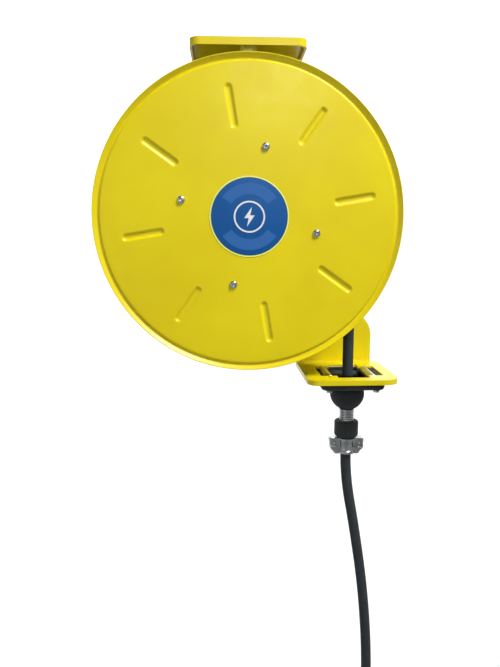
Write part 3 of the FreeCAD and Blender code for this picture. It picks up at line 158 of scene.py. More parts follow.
def loft(
    rings: Sequence[Sequence[Point]], cap_ends: bool = True
) -> tuple[list[Point], list[list[int]]]:
    """Join closed rings of equal size into a skin.

    Args:
        rings: The rings, one after another along the piece.
        cap_ends: Whether the first and last rings are closed with a face.

    Returns:
        The points and the faces.
    """
    count = len(rings[0])
    points = [point for ring in rings for point in ring]
    faces = []
    for k in range(len(rings) - 1):
        low, high = k * count, (k + 1) * count
        for j in range(count):
            after = (j + 1) % count
            faces.append([low + j, low + after, high + after, high + j])
    if cap_ends:
        faces.append(list(range(count))[::-1])
        faces.append([(len(rings) - 1) * count + j for j in range(count)])
    return points, faces


def tube_rings(path: Sequence[Vector], radius: float, sides: int) -> list[list[Point]]:
    """Carry a round section along a path without letting it twist.

    Args:
        path: The centreline, in millimetres.
        radius: The section's radius, in millimetres.
        sides: Points round the section.

    Returns:
        One ring of points for each point of the path.
    """
    rings = []
    across = Vector((0, 1, 0))
    for k, here in enumerate(path):
        ahead = path[min(k + 1, len(path) - 1)] - path[max(k - 1, 0)]
        along = ahead.normalized()
        across = (across - along * across.dot(along)).normalized()
        beside = along.cross(across)
        ring = []
        for j in range(sides):
            turn = 2 * math.pi * j / sides
            spot = here + across * (radius * math.cos(turn)) + beside * (radius * math.sin(turn))
            ring.append(tuple(spot))
        rings.append(ring)
    return rings


def finish_piece(
    piece: bpy.types.Object, slot: Slot, body: str, replaced: Iterable[str] = ()
) -> bpy.types.Object:
    """Give a piece its finish, its body and the CAD nodes it stands for.

    Args:
        piece: The piece, already in place.
        slot: The material slot that it takes its finish from.
        body: The CAD body that it rides on.
        replaced: The CAD nodes that it replaces.

    Returns:
        The same piece.
    """
    piece.data.materials.append(FINISHES[slot].material())
    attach(piece, body)
    names = tuple(replaced)
    if names:
        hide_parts(*names)
    return piece


# --- finishes -----------------------------------------------------------------------------


@dataclass(frozen=True)
class Finish:
    """What every finish has: a name, a colour and how rough it is."""

    name: str
    colour: str
    roughness: float

    def material(self) -> bpy.types.Material:
        """Return the finish's material, made on first use."""
        made = bpy.data.materials.get(self.name)
        if made is not None:
            return made
        made = bpy.data.materials.new(self.name)
        made.use_nodes = True
        tree = made.node_tree
        tree.nodes.clear()
        shader = add_node(tree, "ShaderNodeBsdfPrincipled", {"Roughness": self.roughness})
        add_node(tree, "ShaderNodeOutputMaterial", {"Surface": shader.outputs["BSDF"]})
        made.diffuse_color = linear(self.colour)
        self.dress(tree, shader)
        return made

    def dress(self, tree: bpy.types.NodeTree, shader: bpy.types.Node) -> None:
        """Add the finish's own detail.

        Args:
            tree: The material's node tree.
            shader: Its Principled shader.
        """
        shader.inputs["Base Color"].default_value = linear(self.colour)

    @staticmethod
    def place(tree: bpy.types.NodeTree, stretch: Point = (1, 1, 1)) -> bpy.types.NodeSocket:
        """Return the piece's own coordinates in metres.

        Args:
            tree: The material's node tree.
            stretch: Scale along each axis; under one draws a pattern out along it.

        Returns:
            The socket to feed a texture with.
        """
        coords = add_node(tree, "ShaderNodeTexCoord").outputs["Object"]
        if stretch == (1, 1, 1):
            return coords
        return add_node(
            tree, "ShaderNodeMapping", {"Vector": coords, "Scale": stretch}
        ).outputs["Vector"]

    @staticmethod
    def noise(
        tree: bpy.types.NodeTree, where: bpy.types.NodeSocket, grain_mm: float, detail: float = 3.0
    ) -> bpy.types.NodeSocket:
        """Return a noise pattern of a real size.

        Args:
            tree: The material's node tree.
            where: The coordinates, in metres.
            grain_mm: Size of one blotch, in millimetres.
            detail: How many finer layers it holds.

        Returns:
            The pattern's value, about 0.3 to 0.7.
        """
        return add_node(
            tree,
            "ShaderNodeTexNoise",
            {"Vector": where, "Scale": 1 / (grain_mm * MM), "Detail": detail, "Roughness": 0.55},
        ).outputs["Fac"]

    @staticmethod
    def spread(
        tree: bpy.types.NodeTree, pattern: bpy.types.NodeSocket, low: float, high: float
    ) -> bpy.types.NodeSocket:
        """Map a noise pattern's middle onto a range.

        Args:
            tree: The material's node tree.
            pattern: The noise value.
            low: Value where the noise is low.
            high: Value where the noise is high.

        Returns:
            The mapped value.
        """
        return add_node(
            tree,
            "ShaderNodeMapRange",
            {"Value": pattern, "From Min": 0.32, "From Max": 0.68, "To Min": low, "To Max": high},
        ).outputs["Result"]

    @staticmethod
    def tint(
        tree: bpy.types.NodeTree, factor: bpy.types.NodeSocket, first: object, second: object
    ) -> bpy.types.NodeSocket:
        """Mix two colours.

        Args:
            tree: The material's node tree.
            factor: How far towards the second colour.
            first: A linear colour, or the socket that gives one.
            second: The other colour.

        Returns:
            The mixed colour.
        """
        mix = add_node(tree, "ShaderNodeMix", {0: factor, 6: first, 7: second}, data_type="RGBA")
        return mix.outputs[2]

    @staticmethod
    def emboss(
        tree: bpy.types.NodeTree,
        shader: bpy.types.Node,
        heights: Sequence[tuple[bpy.types.NodeSocket, float]],
        edge_mm: float,
    ) -> None:
        """Lay bumps over each other on softly broken edges.

        Args:
            tree: The material's node tree.
            shader: Its Principled shader.
            heights: Each pattern with its depth in millimetres.
            edge_mm: Radius that sharp edges look broken to.
        """
        normal = add_node(tree, "ShaderNodeBevel", {"Radius": edge_mm * MM}, samples=4).outputs[0]
        for pattern, depth_mm in heights:
            normal = add_node(
                tree,
                "ShaderNodeBump",
                {"Height": pattern, "Distance": depth_mm * MM, "Strength": 1.0, "Normal": normal},
            ).outputs["Normal"]
        tree.links.new(normal, shader.inputs["Normal"])


@dataclass(frozen=True)
class PowderCoat(Finish):
    """Powder coat, sprayed dry on steel and baked.

    It flows out under heat but keeps an orange-peel ripple a couple of millimetres long,
    which breaks up the lights' reflections. A polyester coat is near 1.5 in IOR.
    """

    shade: str = "#d2b800"
    peel_mm: float = 2.2
    peel_depth_mm: float = 0.035
    gloss: float = 0.1

    def dress(self, tree: bpy.types.NodeTree, shader: bpy.types.Node) -> None:
        """Add cloudy film build, orange peel, fine grit and a soft clear gloss."""
        where = self.place(tree)
        clouds = self.noise(tree, where, 90, 2)
        grit = self.noise(tree, where, 0.6, 2)
        colour = self.tint(
            tree, self.spread(tree, clouds, 0.0, 0.35), linear(self.colour), linear(self.shade)
        )
        specks = self.spread(tree, grit, 0.0, 0.1)
        tree.links.new(
            self.tint(tree, specks, colour, linear(self.shade)), shader.inputs["Base Color"]
        )
        handling = self.noise(tree, where, 14, 4)
        tree.links.new(
            self.spread(tree, handling, self.roughness - 0.06, self.roughness + 0.08),
            shader.inputs["Roughness"],
        )
        shader.inputs["IOR"].default_value = 1.5
        shader.inputs["Specular IOR Level"].default_value = 0.34
        shader.inputs["Coat Weight"].default_value = self.gloss
        shader.inputs["Coat Roughness"].default_value = 0.16
        peel = self.noise(tree, where, self.peel_mm, 1)
        self.emboss(tree, shader, [(peel, self.peel_depth_mm), (grit, 0.004)], 0.7)


@dataclass(frozen=True)
class BareMetal(Finish):
    """Metal that shows its own surface: plated, drawn, cast or turned.

    A drawn or turned surface carries fine lines along its grain, and plating a faint
    cloudy bloom; both widen the highlight unevenly.
    """

    stain: str = "#8f9294"
    grain_mm: float = 0.5
    stretch: Point = (1, 1, 1)
    grain_depth_mm: float = 0.004
    bloom: float = 0.35

    def dress(self, tree: bpy.types.NodeTree, shader: bpy.types.Node) -> None:
        """Add the bloom, the grain and uneven polish."""
        shader.inputs["Metallic"].default_value = 1.0
        where = self.place(tree)
        clouds = self.noise(tree, where, 7, 4)
        grain = self.noise(tree, self.place(tree, self.stretch), self.grain_mm, 3)
        tree.links.new(
            self.tint(
                tree,
                self.spread(tree, clouds, 0.0, self.bloom),
                linear(self.colour),
                linear(self.stain),
            ),
            shader.inputs["Base Color"],
        )
        tree.links.new(
            self.spread(tree, clouds, self.roughness - 0.07, self.roughness + 0.1),
            shader.inputs["Roughness"],
        )
        self.emboss(tree, shader, [(grain, self.grain_depth_mm)], 0.3)


@dataclass(frozen=True)
class Moulding(Finish):
    """Injection-moulded plastic from a spark-eroded tool.

    The tool leaves a fine, even pebble a third of a millimetre across, and handling
    leaves slightly glossier patches. Nylon and polycarbonate run from 1.53 to 1.58.
    """

    shade: str = "#101214"
    pebble_mm: float = 0.45
    pebble_depth_mm: float = 0.012
    index: float = 1.54

    def dress(self, tree: bpy.types.NodeTree, shader: bpy.types.Node) -> None:
        """Add the pebble, flow marks and rubbed patches."""
        where = self.place(tree)
        flow = self.noise(tree, where, 24, 3)
        tree.links.new(
            self.tint(
                tree, self.spread(tree, flow, 0.0, 0.5), linear(self.colour), linear(self.shade)
            ),
            shader.inputs["Base Color"],
        )
        rubbed = self.noise(tree, where, 9, 4)
        tree.links.new(
            self.spread(tree, rubbed, self.roughness - 0.08, self.roughness + 0.08),
            shader.inputs["Roughness"],
        )
        shader.inputs["IOR"].default_value = self.index
        pebble = self.noise(tree, where, self.pebble_mm, 1)
        self.emboss(tree, shader, [(pebble, self.pebble_depth_mm), (flow, 0.02)], 0.4)


@dataclass(frozen=True)
class Rubber(Finish):
    """Cured or thermoplastic rubber, extruded as a jacket or moulded.

    An extruded jacket has drag lines along its length, and all rubber picks up a pale
    dusty bloom, which greys the dark ones. Its IOR is about 1.52.
    """

    dust: str = "#5b6068"
    dust_amount: float = 0.3
    stretch: Point = (1, 1, 1)
    drag_mm: float = 0.9
    drag_depth_mm: float = 0.02

    def dress(self, tree: bpy.types.NodeTree, shader: bpy.types.Node) -> None:
        """Add dust, drag lines and a matt sheen."""
        where = self.place(tree)
        patches = self.noise(tree, where, 18, 5)
        fine = self.noise(tree, where, 1.1, 3)
        dusty = self.spread(tree, patches, 0.0, self.dust_amount)
        colour = self.tint(tree, dusty, linear(self.colour), linear(self.dust))
        specks = self.spread(tree, fine, 0.0, 0.4 * self.dust_amount)
        tree.links.new(
            self.tint(tree, specks, colour, linear(self.dust)), shader.inputs["Base Color"]
        )
        tree.links.new(
            self.spread(tree, fine, self.roughness - 0.08, self.roughness + 0.1),
            shader.inputs["Roughness"],
        )
        shader.inputs["IOR"].default_value = 1.52
        shader.inputs["Sheen Weight"].default_value = 0.08
        shader.inputs["Sheen Roughness"].default_value = 0.5
        drag = self.noise(tree, self.place(tree, self.stretch), self.drag_mm, 2)
        self.emboss(tree, shader, [(drag, self.drag_depth_mm), (fine, 0.01)], 0.5)


@dataclass(frozen=True)
class PrintedVinyl(Finish):
    """A screen-printed vinyl label under a gloss laminate, IOR about 1.54."""

    ink_mottle: float = 0.12

    def dress(self, tree: bpy.types.NodeTree, shader: bpy.types.Node) -> None:
        """Add a faint ink mottle and the laminate's soft ripple."""
        where = self.place(tree)
        mottle = self.noise(tree, where, 0.8, 2)
        tree.links.new(
            self.tint(
                tree,
                self.spread(tree, mottle, 0.0, self.ink_mottle),
                linear(self.colour),
                (0.02, 0.02, 0.03, 1),
            ),
            shader.inputs["Base Color"],
        )
        shader.inputs["IOR"].default_value = 1.54
        shader.inputs["Specular IOR Level"].default_value = 0.3
        ripple = self.noise(tree, where, 6, 1)
        self.emboss(tree, shader, [(ripple, 0.01)], 0.1)


@dataclass(frozen=True)
class StudioPaper(Finish):
    """Seamless background paper: matt, pale, with a faint tooth."""

    def dress(self, tree: bpy.types.NodeTree, shader: bpy.types.Node) -> None:
        """Add a barely visible paper tooth."""
        where = self.place(tree)
        tooth = self.noise(tree, where, 3, 2)
        tree.links.new(
            self.tint(
                tree, self.spread(tree, tooth, 0.0, 0.06), linear(self.colour), (0.8, 0.8, 0.8, 1)
            ),
            shader.inputs["Base Color"],
        )
        shader.inputs["Specular IOR Level"].default_value = 0.1


FINISHES: dict[Slot, Finish] = {
    Slot.REEL_YELLOW: PowderCoat("reel_yellow_coat", "#e8d80a", 0.34),
    # Partly the bolt's own yellow coat, partly painted light: colour and shade are made paler so the
    # nut looks lit where it sits in shade under the base.
    Slot.PAINTED_BOLT: PowderCoat(
        "bolt_yellow_coat_painted_light", "#f6ef62", 0.38, shade="#ddd24a", peel_depth_mm=0.015
    ),
    Slot.CORE_STEEL: PowderCoat("core_grey_primer", "#6c6d70", 0.6, shade="#58595c", gloss=0.0),
    Slot.LABEL_BLUE: PrintedVinyl("label_blue_ink", "#00559e", 0.4),
    Slot.ZINC: BareMetal(
        "zinc_plate", "#d6dadb", 0.22, stain="#7a8183", bloom=0.75, grain_mm=1.4, grain_depth_mm=0.05
    ),
    Slot.STEEL: BareMetal("turned_steel", "#bcbdbf", 0.27, stretch=(1, 0.06, 1), grain_mm=0.3),
    Slot.SPRING_STEEL: BareMetal("blued_spring", "#5a6474", 0.35, stain="#3c4250"),
    Slot.CAST_HUB: BareMetal("cast_alloy", "#b9babc", 0.48, grain_mm=1.2, grain_depth_mm=0.03),
    Slot.COPPER_RING: BareMetal("ring_copper", "#cf8f5c", 0.25, stain="#9a6136"),
    Slot.CARBON: Moulding("brush_carbon", "#2b2b2d", 0.6, shade="#1c1c1d"),
    Slot.INSULATOR: Moulding("phenolic_sleeve", "#7c3a26", 0.45, shade="#5f2a1b"),
    Slot.BLACK_NYLON: Moulding("black_nylon", "#14171a", 0.46, shade="#0d0f10"),
    Slot.CORD_JACKET: Rubber(
        "cord_jacket", "#2a363c", 0.56, dust="#5a6b72", dust_amount=0.45, stretch=(1, 1, 0.03)
    ),
    Slot.STOP_RUBBER: Rubber("stop_rubber", "#0a1520", 0.5, dust="#293947", dust_amount=0.25),
    Slot.BOX_YELLOW: Rubber(
        "box_yellow_rubber", "#fcc52c", 0.5, dust="#e9a916", dust_amount=0.35, drag_mm=1.4
    ),
    Slot.BOX_BLUE: Moulding("box_blue_plastic", "#1f56ad", 0.36, shade="#184892", index=1.58),
    Slot.GASKET_ORANGE: Rubber("gasket_orange", "#d9601f", 0.55, dust="#e08a55"),
    Slot.DEVICE_BROWN: Moulding("device_brown", "#3a2623", 0.34, shade="#2d1c1a"),
    Slot.BUTTON_BLACK: Moulding("button_black", "#1a1a1b", 0.4),
    Slot.BUTTON_RED: Moulding("button_red", "#54241f", 0.4, shade="#431c18"),
}
LABEL_PALE = PrintedVinyl("label_pale_ink", "#2f6ab3", 0.3)
LABEL_WHITE = PrintedVinyl("label_white_ink", "#eef0f2", 0.3)
LABEL_RIM = PrintedVinyl("label_yellow_ink", "#fbfa5e", 0.3, ink_mottle=0.02)


# --- camera and studio --------------------------------------------------------------------


@dataclass
class Studio:
    """Camera, soft lights and a seamless pale sweep."""

    eye: Point = (-0.0295, -0.7479, -0.2446)
    pitch_down: float = 8.28
    yaw_right: float = 2.53
    lens: float = 30.7
    floor_z: float = -2.76      # just under the outlet box with the cord drawn out
    wall_radius: float = 7.0
    bend_radius: float = 2.0
    top_z: float = 4.0
    wall_facets: int = 96
    bend_facets: int = 16

    def make_camera(self) -> bpy.types.Object:
        """Make the camera at standing distance in front of the reel."""
        camera = bpy.data.objects.new("camera", bpy.data.cameras.new("camera"))
        bpy.context.scene.collection.objects.link(camera)
        camera.location = self.eye
        camera.rotation_euler = Euler(
            (math.radians(90 - self.pitch_down), 0, math.radians(-self.yaw_right)), "XYZ"
        )
        camera.data.lens = self.lens
        camera.data.sensor_width = 36
        camera.data.clip_start = 0.02
        camera.data.clip_end = 50
        bpy.context.scene.camera = camera
        return camera

    def make_sweep(self) -> bpy.types.Object:
        """Make the round floor that curves up into a wall on every side."""
        section = [(0.05, self.floor_z), (2.0, self.floor_z)]
        for k in range(self.bend_facets + 1):
            turn = math.pi / 2 * k / self.bend_facets
            section.append((
                self.wall_radius - self.bend_radius + self.bend_radius * math.sin(turn),
                self.floor_z + self.bend_radius - self.bend_radius * math.cos(turn),
            ))
        section.append((self.wall_radius, self.top_z))
        turns = [2 * math.pi * k / self.wall_facets for k in range(self.wall_facets)]
        rings = []
        for radius, z in section:
            rings.append([
                (radius * math.cos(t) / MM, radius * math.sin(t) / MM, z / MM) for t in turns
            ])
        points, faces = loft(rings, cap_ends=False)
        faces.append(list(range(self.wall_facets))[::-1])
        sweep = mesh_piece("studio_sweep", points, faces)
        sweep.data.materials.append(StudioPaper("studio_paper", "#e8e8e7", 0.9).material())
        return sweep

    def make_light(
        self, name: str, place: Point, aim: Point, side: float, watts: float, colour: str
    ) -> bpy.types.Object:
        """Make one softbox.

        Args:
            name: The light's name.
            place: Where it stands, in metres.
            aim: The point that it faces.
            side: Edge of its square face, in metres.
            watts: Its power.
            colour: Its colour as sRGB hex.

        Returns:
            The light.
        """
        lamp = bpy.data.lights.new(name, "AREA")
        lamp.shape = "SQUARE"
        lamp.size = side
        lamp.energy = watts
        lamp.color = linear(colour)[:3]
        light = bpy.data.objects.new(name, lamp)
        bpy.context.scene.collection.objects.link(light)
        light.location = place
        light.visible_camera = False
        light.rotation_euler = (Vector(aim) - Vector(place)).to_track_quat("-Z", "Y").to_euler()
        return light

    def light_room(self) -> None:
        """Set a pale room and its softboxes, the key from the upper right."""
        world = bpy.data.worlds.new("pale_room")
        world.use_nodes = True
        sky = world.node_tree.nodes["Background"]
        sky.inputs["Color"].default_value = linear("#eef1f5")
        sky.inputs["Strength"].default_value = 0.12
        bpy.context.scene.world = world
        drum = (0.0, 0.0, -0.3)
        key = self.make_light("key_softbox", (1.0, -0.95, 1.5), drum, 0.7, 7.9, "#fffaf2")
        key.data.spread = math.radians(60)
        self.make_light("fill_softbox", (-1.7, -2.0, -0.3), drum, 2.0, 6, "#f3f6ff")
        self.make_light("veil_softbox", (0.3, -2.8, 0.8), drum, 0.6, 8, "#f6f8ff")
        self.make_light("rim_softbox", (0.5, 1.9, 1.0), drum, 1.4, 6, "#ffffff")
        self.make_light("backdrop_softbox", (0.0, 2.6, 2.8), (0.0, 6.6, -1.4), 2.8, 420, "#ffffff")
        bpy.context.scene.view_settings.view_transform = "Standard"


# --- cords --------------------------------------------------------------------------------


@dataclass
class HangingCord:
    """The cord below the clamp, down to the outlet box."""

    route: tuple[Point, ...] = (
        (0.131248, -0.020, -0.5124),
        (0.131248, -0.020, -0.545),
        (0.146, -0.018, -0.620),
        (0.161, -0.015, -0.712),
        (0.1695, -0.013, -0.802),
        (0.1715, -0.012, -0.880),
        (0.1715, -0.012, -0.940),
    )
    length: float = 0.4306
    with_pieces: tuple[str, ...] = (
        "box_clamp_screws", "box_gasket", "box_cord",
        "outlet_box", "outlet_cover", "cover_screws", "receptacle", "device_ears",
        "test_button", "reset_button",
    )

    def build(self, clamps: Iterable[bpy.types.Object]) -> list[bpy.types.Object]:
        """Args:
            clamps: The clamp halves that hold its lower end; not used.

        Returns:
            The cord.
        """
        line = bpy.data.curves.new("hanging_cord", "CURVE")
        line.dimensions = "3D"
        line.resolution_u = 16
        line.bevel_depth = CORD_RADIUS * MM
        line.bevel_resolution = 8
        line.use_fill_caps = True
        spline = line.splines.new("NURBS")
        spline.points.add(len(self.route) - 1)
        for point, spot in zip(spline.points, self.route):
            point.co = (*spot, 1.0)
        spline.order_u = 3
        spline.use_endpoint_u = True
        cord = bpy.data.objects.new("hanging_cord", line)
        bpy.context.scene.collection.objects.link(cord)
        finish_piece(cord, Slot.CORD_JACKET, "cord_end", ["pigtail_cord"])
        return [cord]


@dataclass
class StoredCord:
    """The cord on the drum, in nested layers, and the run down to the guide."""

    layer_radii: tuple[float, ...] = (107.0, 119.124, 131.248)
    layer_turns: tuple[int, ...] = (6, 5, 3)
    first_turn: float = -55.0
    pitch: float = 14.0
    crossover: float = 50.0      # degrees over which a turn steps to the next
    step: float = 5.0
    sides: int = 14
    run_foot: float = -408.65
    run_step: float = 4.0

    def turns(self, radius: float, first: float, count: int, lead: float) -> list[Vector]:
        """Return one layer's turns, each flat but for a crossover centred on angle zero.

        Args:
            radius: Centreline radius, in millimetres.
            first: Place of the first turn along the drum axis.
            count: How many turns the layer holds.
            lead: Step to the next turn; its sign is the direction of laying.

        Returns:
            The layer's centreline.
        """
        half = self.crossover / 2
        spots = []
        angle = half
        while angle <= 360 * count - half + 0.01:
            lap, within = divmod(angle, 360)
            if within > 360 - half:
                share = 0.5 * (1 - math.cos(math.pi * (within - 360 + half) / (2 * half)))
            elif within < half:
                share = 0.5 * (1 - math.cos(math.pi * (within + half) / (2 * half))) - 1
            else:
                share = 0
            y = first + lead * (lap + share)
            turn = math.radians(angle)
            spots.append(Vector((
                radius * math.cos(turn), y, DRUM_AXIS_Z + radius * math.sin(turn)
            )))
            angle += self.step
        return spots

    def make_layer(self, name: str, path: list[Vector]) -> bpy.types.Object:
        """Make one layer of wound cord.

        Args:
            name: The piece's name.
            path: Its centreline, in millimetres.

        Returns:
            The layer.
        """
        points, faces = loft(tube_rings(path, CORD_RADIUS - 0.05, self.sides))
        return mesh_piece(name, points, faces)

    def outer_layer(self) -> list[Vector]:
        """Return the top layer: its turns laid from the rear disc, then the pay-off."""
        rearmost = self.first_turn + (self.layer_turns[0] - 1) * self.pitch
        radius, count = self.layer_radii[2], self.layer_turns[2]
        path = self.turns(radius, rearmost, count, -self.pitch)
        last = rearmost - (count - 1) * self.pitch
        full = 360 * count
        angle = full - self.crossover / 2
        while angle < full - 0.01:
            angle += self.step
            share = 0.5 * (1 - math.cos(math.pi * ((angle - full) / self.crossover + 0.5)))
            turn = math.radians(angle)
            path.append(Vector((
                radius * math.cos(turn), last - self.pitch * share,
                DRUM_AXIS_Z + radius * math.sin(turn),
            )))
        return path

    def build(self) -> list[bpy.types.Object]:
        """Make the three layers and the run to the guide."""
        radii, turns = self.layer_radii, self.layer_turns
        inner = self.make_layer(
            "cord_layer_inner", self.turns(radii[0], self.first_turn, turns[0], self.pitch)
        )
        middle = self.make_layer(
            "cord_layer_middle",
            self.turns(radii[1], self.first_turn + self.pitch / 2, turns[1], self.pitch),
        )
        outer = self.make_layer("cord_layer_outer", self.outer_layer())
        finish_piece(outer, Slot.CORD_JACKET, "drum", ["cord_winding"])
        for layer in (inner, middle):
            finish_piece(layer, Slot.CORD_JACKET, "drum")
        return [inner, middle, outer, self.make_run()]

    def make_run(self) -> bpy.types.Object:
        """Make the straight cord from the winding to the guide."""
        path = []
        z = DRUM_AXIS_Z
        while z > self.run_foot:
            path.append(Vector((CORD_X, CORD_Y, z)))
            z -= self.run_step
        path.append(Vector((CORD_X, CORD_Y, self.run_foot)))
        points, faces = loft(tube_rings(path, CORD_RADIUS, 24))
        run = mesh_piece("cord_to_guide", points, faces)
        run.data.materials.append(FINISHES[Slot.CORD_JACKET].material())
        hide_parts("cord_run")
        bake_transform(run)
        return run


# --- drum ---------------------------------------------------------------------------------


@dataclass
class EndDisc:
    """A pressed end disc: flat web, eight radial ribs and a stepped, rolled rim."""

    name: str
    node: str
    inner_face: float           # along the drum axis, in millimetres
    outward: int                # -1 towards the front, +1 towards the rear
    bore: float
    sheet: float = 2.0
    rib_start: float = 9.5
    rib_count: int = 8
    rib_inner: float = 101.0
    rib_outer: float = 152.5
    rib_half: float = 5.2
    rib_shoulder: float = 4.0
    rib_depth: float = 2.1
    rib_back: float = 0.8
    rib_span: float = 3.4       # degrees each side of a rib that get fine facets
    fine_facets: int = 22
    web_facets: int = 14
    web: tuple[float, ...] = (
        47.0, 70.0, 90.0, 98.0, 100.4, 101.0, 101.7, 102.4, 103.1, 103.8, 104.6, 105.5, 106.8,
        109.5, 118.0, 126.0, 134.0, 142.0, 145.5, 147.0, 148.0, 148.8, 149.6, 150.3, 151.0,
        151.8, 152.5, 153.2, 155.0, 162.0, 170.0,
    )
    rim: tuple[tuple[float, float], ...] = (
        (173.4, 2.0), (174.6, 1.9), (175.4, 1.5), (176.0, 0.8), (176.5, 0.1), (177.1, -0.35),
        (177.8, -0.45), (178.6, -0.15), (179.8, 0.75), (181.2, 1.8), (182.3, 2.7), (182.9, 3.2),
        (183.35, 3.45), (183.75, 3.35), (184.0, 2.95), (184.05, 2.2), (184.0, 1.1), (183.8, 0.45),
        (183.3, 0.05), (182.2, -0.5), (180.4, -1.6), (178.6, -2.75), (177.6, -3.15),
        (176.7, -3.15), (175.9, -2.7), (175.2, -1.7), (174.5, -0.7), (173.6, -0.15), (172.4, 0.0),
    )

    def angles(self) -> list[float]:
        """Return the facet angles, close together where a rib's flanks need them."""
        pitch = 360 / self.rib_count
        found = []
        for k in range(self.rib_count):
            middle = self.rib_start + pitch * k
            for j in range(self.fine_facets):
                found.append(middle - self.rib_span + 2 * self.rib_span * j / self.fine_facets)
            rest = pitch - 2 * self.rib_span
            for j in range(self.web_facets):
                found.append(middle + self.rib_span + rest * j / self.web_facets)
        return found

    def press(self, radius: float, angle: float) -> float:
        """Return how far a rib is pressed in at a point, from 0 to 1.

        Args:
            radius: Distance from the drum axis, in millimetres.
            angle: Angle round the drum, in degrees.

        Returns:
            The share of the rib's full depth.
        """
        pitch = 360 / self.rib_count
        away = math.radians((angle - self.rib_start + pitch / 2) % pitch - pitch / 2)
        along, across = radius * math.cos(away), radius * math.sin(away)
        nearest = min(max(along, self.rib_inner + self.rib_half), self.rib_outer - self.rib_half)
        distance = math.hypot(along - nearest, across)
        share = min(max((self.rib_half - distance) / self.rib_shoulder, 0.0), 1.0)
        return share * share * (3 - 2 * share)

    def build(self) -> list[bpy.types.Object]:
        """Make the disc as a closed skin of two faces and a rim."""
        angles = self.angles()
        web = [radius for radius in self.web if radius > self.bore + 1]
        front = [(radius, self.sheet, -self.rib_depth) for radius in [self.bore, *web]]
        back = [(radius, 0.0, -self.rib_back) for radius in [*web[::-1], self.bore]]
        section = front + [(radius, height, 0.0) for radius, height in self.rim] + back
        rings = []
        for radius, height, depth in section:
            ring = []
            for angle in angles:
                rise = height + depth * self.press(radius, angle)
                turn = math.radians(angle)
                ring.append((
                    radius * math.cos(turn),
                    self.inner_face + self.outward * rise,
                    DRUM_AXIS_Z + radius * math.sin(turn),
                ))
            rings.append(ring)
        points, faces = loft(rings, cap_ends=False)
        count = len(angles)
        last = (len(rings) - 1) * count
        for j in range(count):
            after = (j + 1) % count
            faces.append([last + j, last + after, after, j])
        if self.outward < 0:
            faces = [face[::-1] for face in faces]
        disc = mesh_piece(self.name, points, faces)
        return [finish_piece(disc, Slot.REEL_YELLOW, "drum", [self.node])]


@dataclass
class DrumLabel:
    """The round label: a blue field, a bright rim and a plain electrical sign."""

    radius: float = 47.4
    face: float = -65.0
    thickness: float = 0.4
    ink: float = 0.04
    segments: int = 128

    def disc(self, name: str) -> bpy.types.Object:
        """Make the vinyl disc with a soft cut edge."""
        section = [
            (0.01, 0.0), (self.radius, 0.0), (self.radius, -0.25), (self.radius - 0.1, -0.36),
            (self.radius - 0.3, -self.thickness), (0.01, -self.thickness),
        ]
        rings = [[self.spot(r, 360 * j / self.segments, dy) for j in range(self.segments)]
                 for r, dy in section]
        points, faces = loft(rings)
        return mesh_piece(name, points, faces)

    def spot(self, radius: float, angle: float, rise: float) -> Point:
        """Return a point on the label's face from its polar place, in millimetres."""
        turn = math.radians(angle)
        return (radius * math.cos(turn), self.face + rise, DRUM_AXIS_Z + radius * math.sin(turn))

    def print_shape(
        self,
        name: str,
        outline: Sequence[tuple[float, float]],
        closed_hole: Sequence[tuple[float, float]] | None = None,
    ) -> bpy.types.Object:
        """Print a flat shape on the label.

        Args:
            name: The piece's name.
            outline: Its outline across and up the label, in millimetres.
            closed_hole: The inner outline of a ring, with as many points as outline.

        Returns:
            The printed shape.
        """
        low = self.face - self.thickness
        high = low - self.ink
        if closed_hole is None:
            rings = [[(x, y, DRUM_AXIS_Z + z) for x, z in outline] for y in (low, high)]
            points, faces = loft(rings)
        else:
            rings = [
                [(x, y, DRUM_AXIS_Z + z) for x, z in edge]
                for edge, y in ((outline, low), (outline, high), (closed_hole, high))
            ]
            points, faces = loft(rings, cap_ends=False)
        piece = mesh_piece(name, points, faces)
        piece.data.shade_flat()
        return piece

    def arc(self, inner: float, outer: float, start: float, end: float) -> list[tuple[float, float]]:
        """Return the outline of a piece of a ring, in millimetres and degrees."""
        steps = 40
        turns = [math.radians(start + (end - start) * k / steps) for k in range(steps + 1)]
        far = [(outer * math.cos(t), outer * math.sin(t)) for t in turns]
        near = [(inner * math.cos(t), inner * math.sin(t)) for t in turns[::-1]]
        return far + near

    def circle(self, radius: float) -> list[tuple[float, float]]:
        """Return a full circle's outline, in millimetres."""
        turns = [2 * math.pi * k / self.segments for k in range(self.segments)]
        return [(radius * math.cos(t), radius * math.sin(t)) for t in turns]

    def build(self) -> list[bpy.types.Object]:
        """Make the label and its generic printing."""
        base = finish_piece(self.disc("label_disc"), Slot.LABEL_BLUE, "drum", ["drum_label"])
        bolt = ((3.0, 11.5), (-6.2, -1.6), (-0.9, -1.6), (-3.0, -11.5), (6.2, 1.6), (0.9, 1.6))
        prints = [
            (self.print_shape("label_rim", self.circle(47.2), self.circle(45.5)), LABEL_RIM),
            (self.print_shape("label_band_upper", self.arc(26, 39, 35, 145)), LABEL_PALE),
            (self.print_shape("label_band_lower", self.arc(26, 39, 215, 325)), LABEL_PALE),
            (self.print_shape("label_sign_ring", self.circle(18.5), self.circle(16.6)), LABEL_WHITE),
            (self.print_shape("label_sign_bolt", bolt), LABEL_WHITE),
        ]
        for piece, ink in prints:
            piece.data.materials.append(ink.material())
            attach(piece, "drum")
        return [base] + [piece for piece, ink in prints]


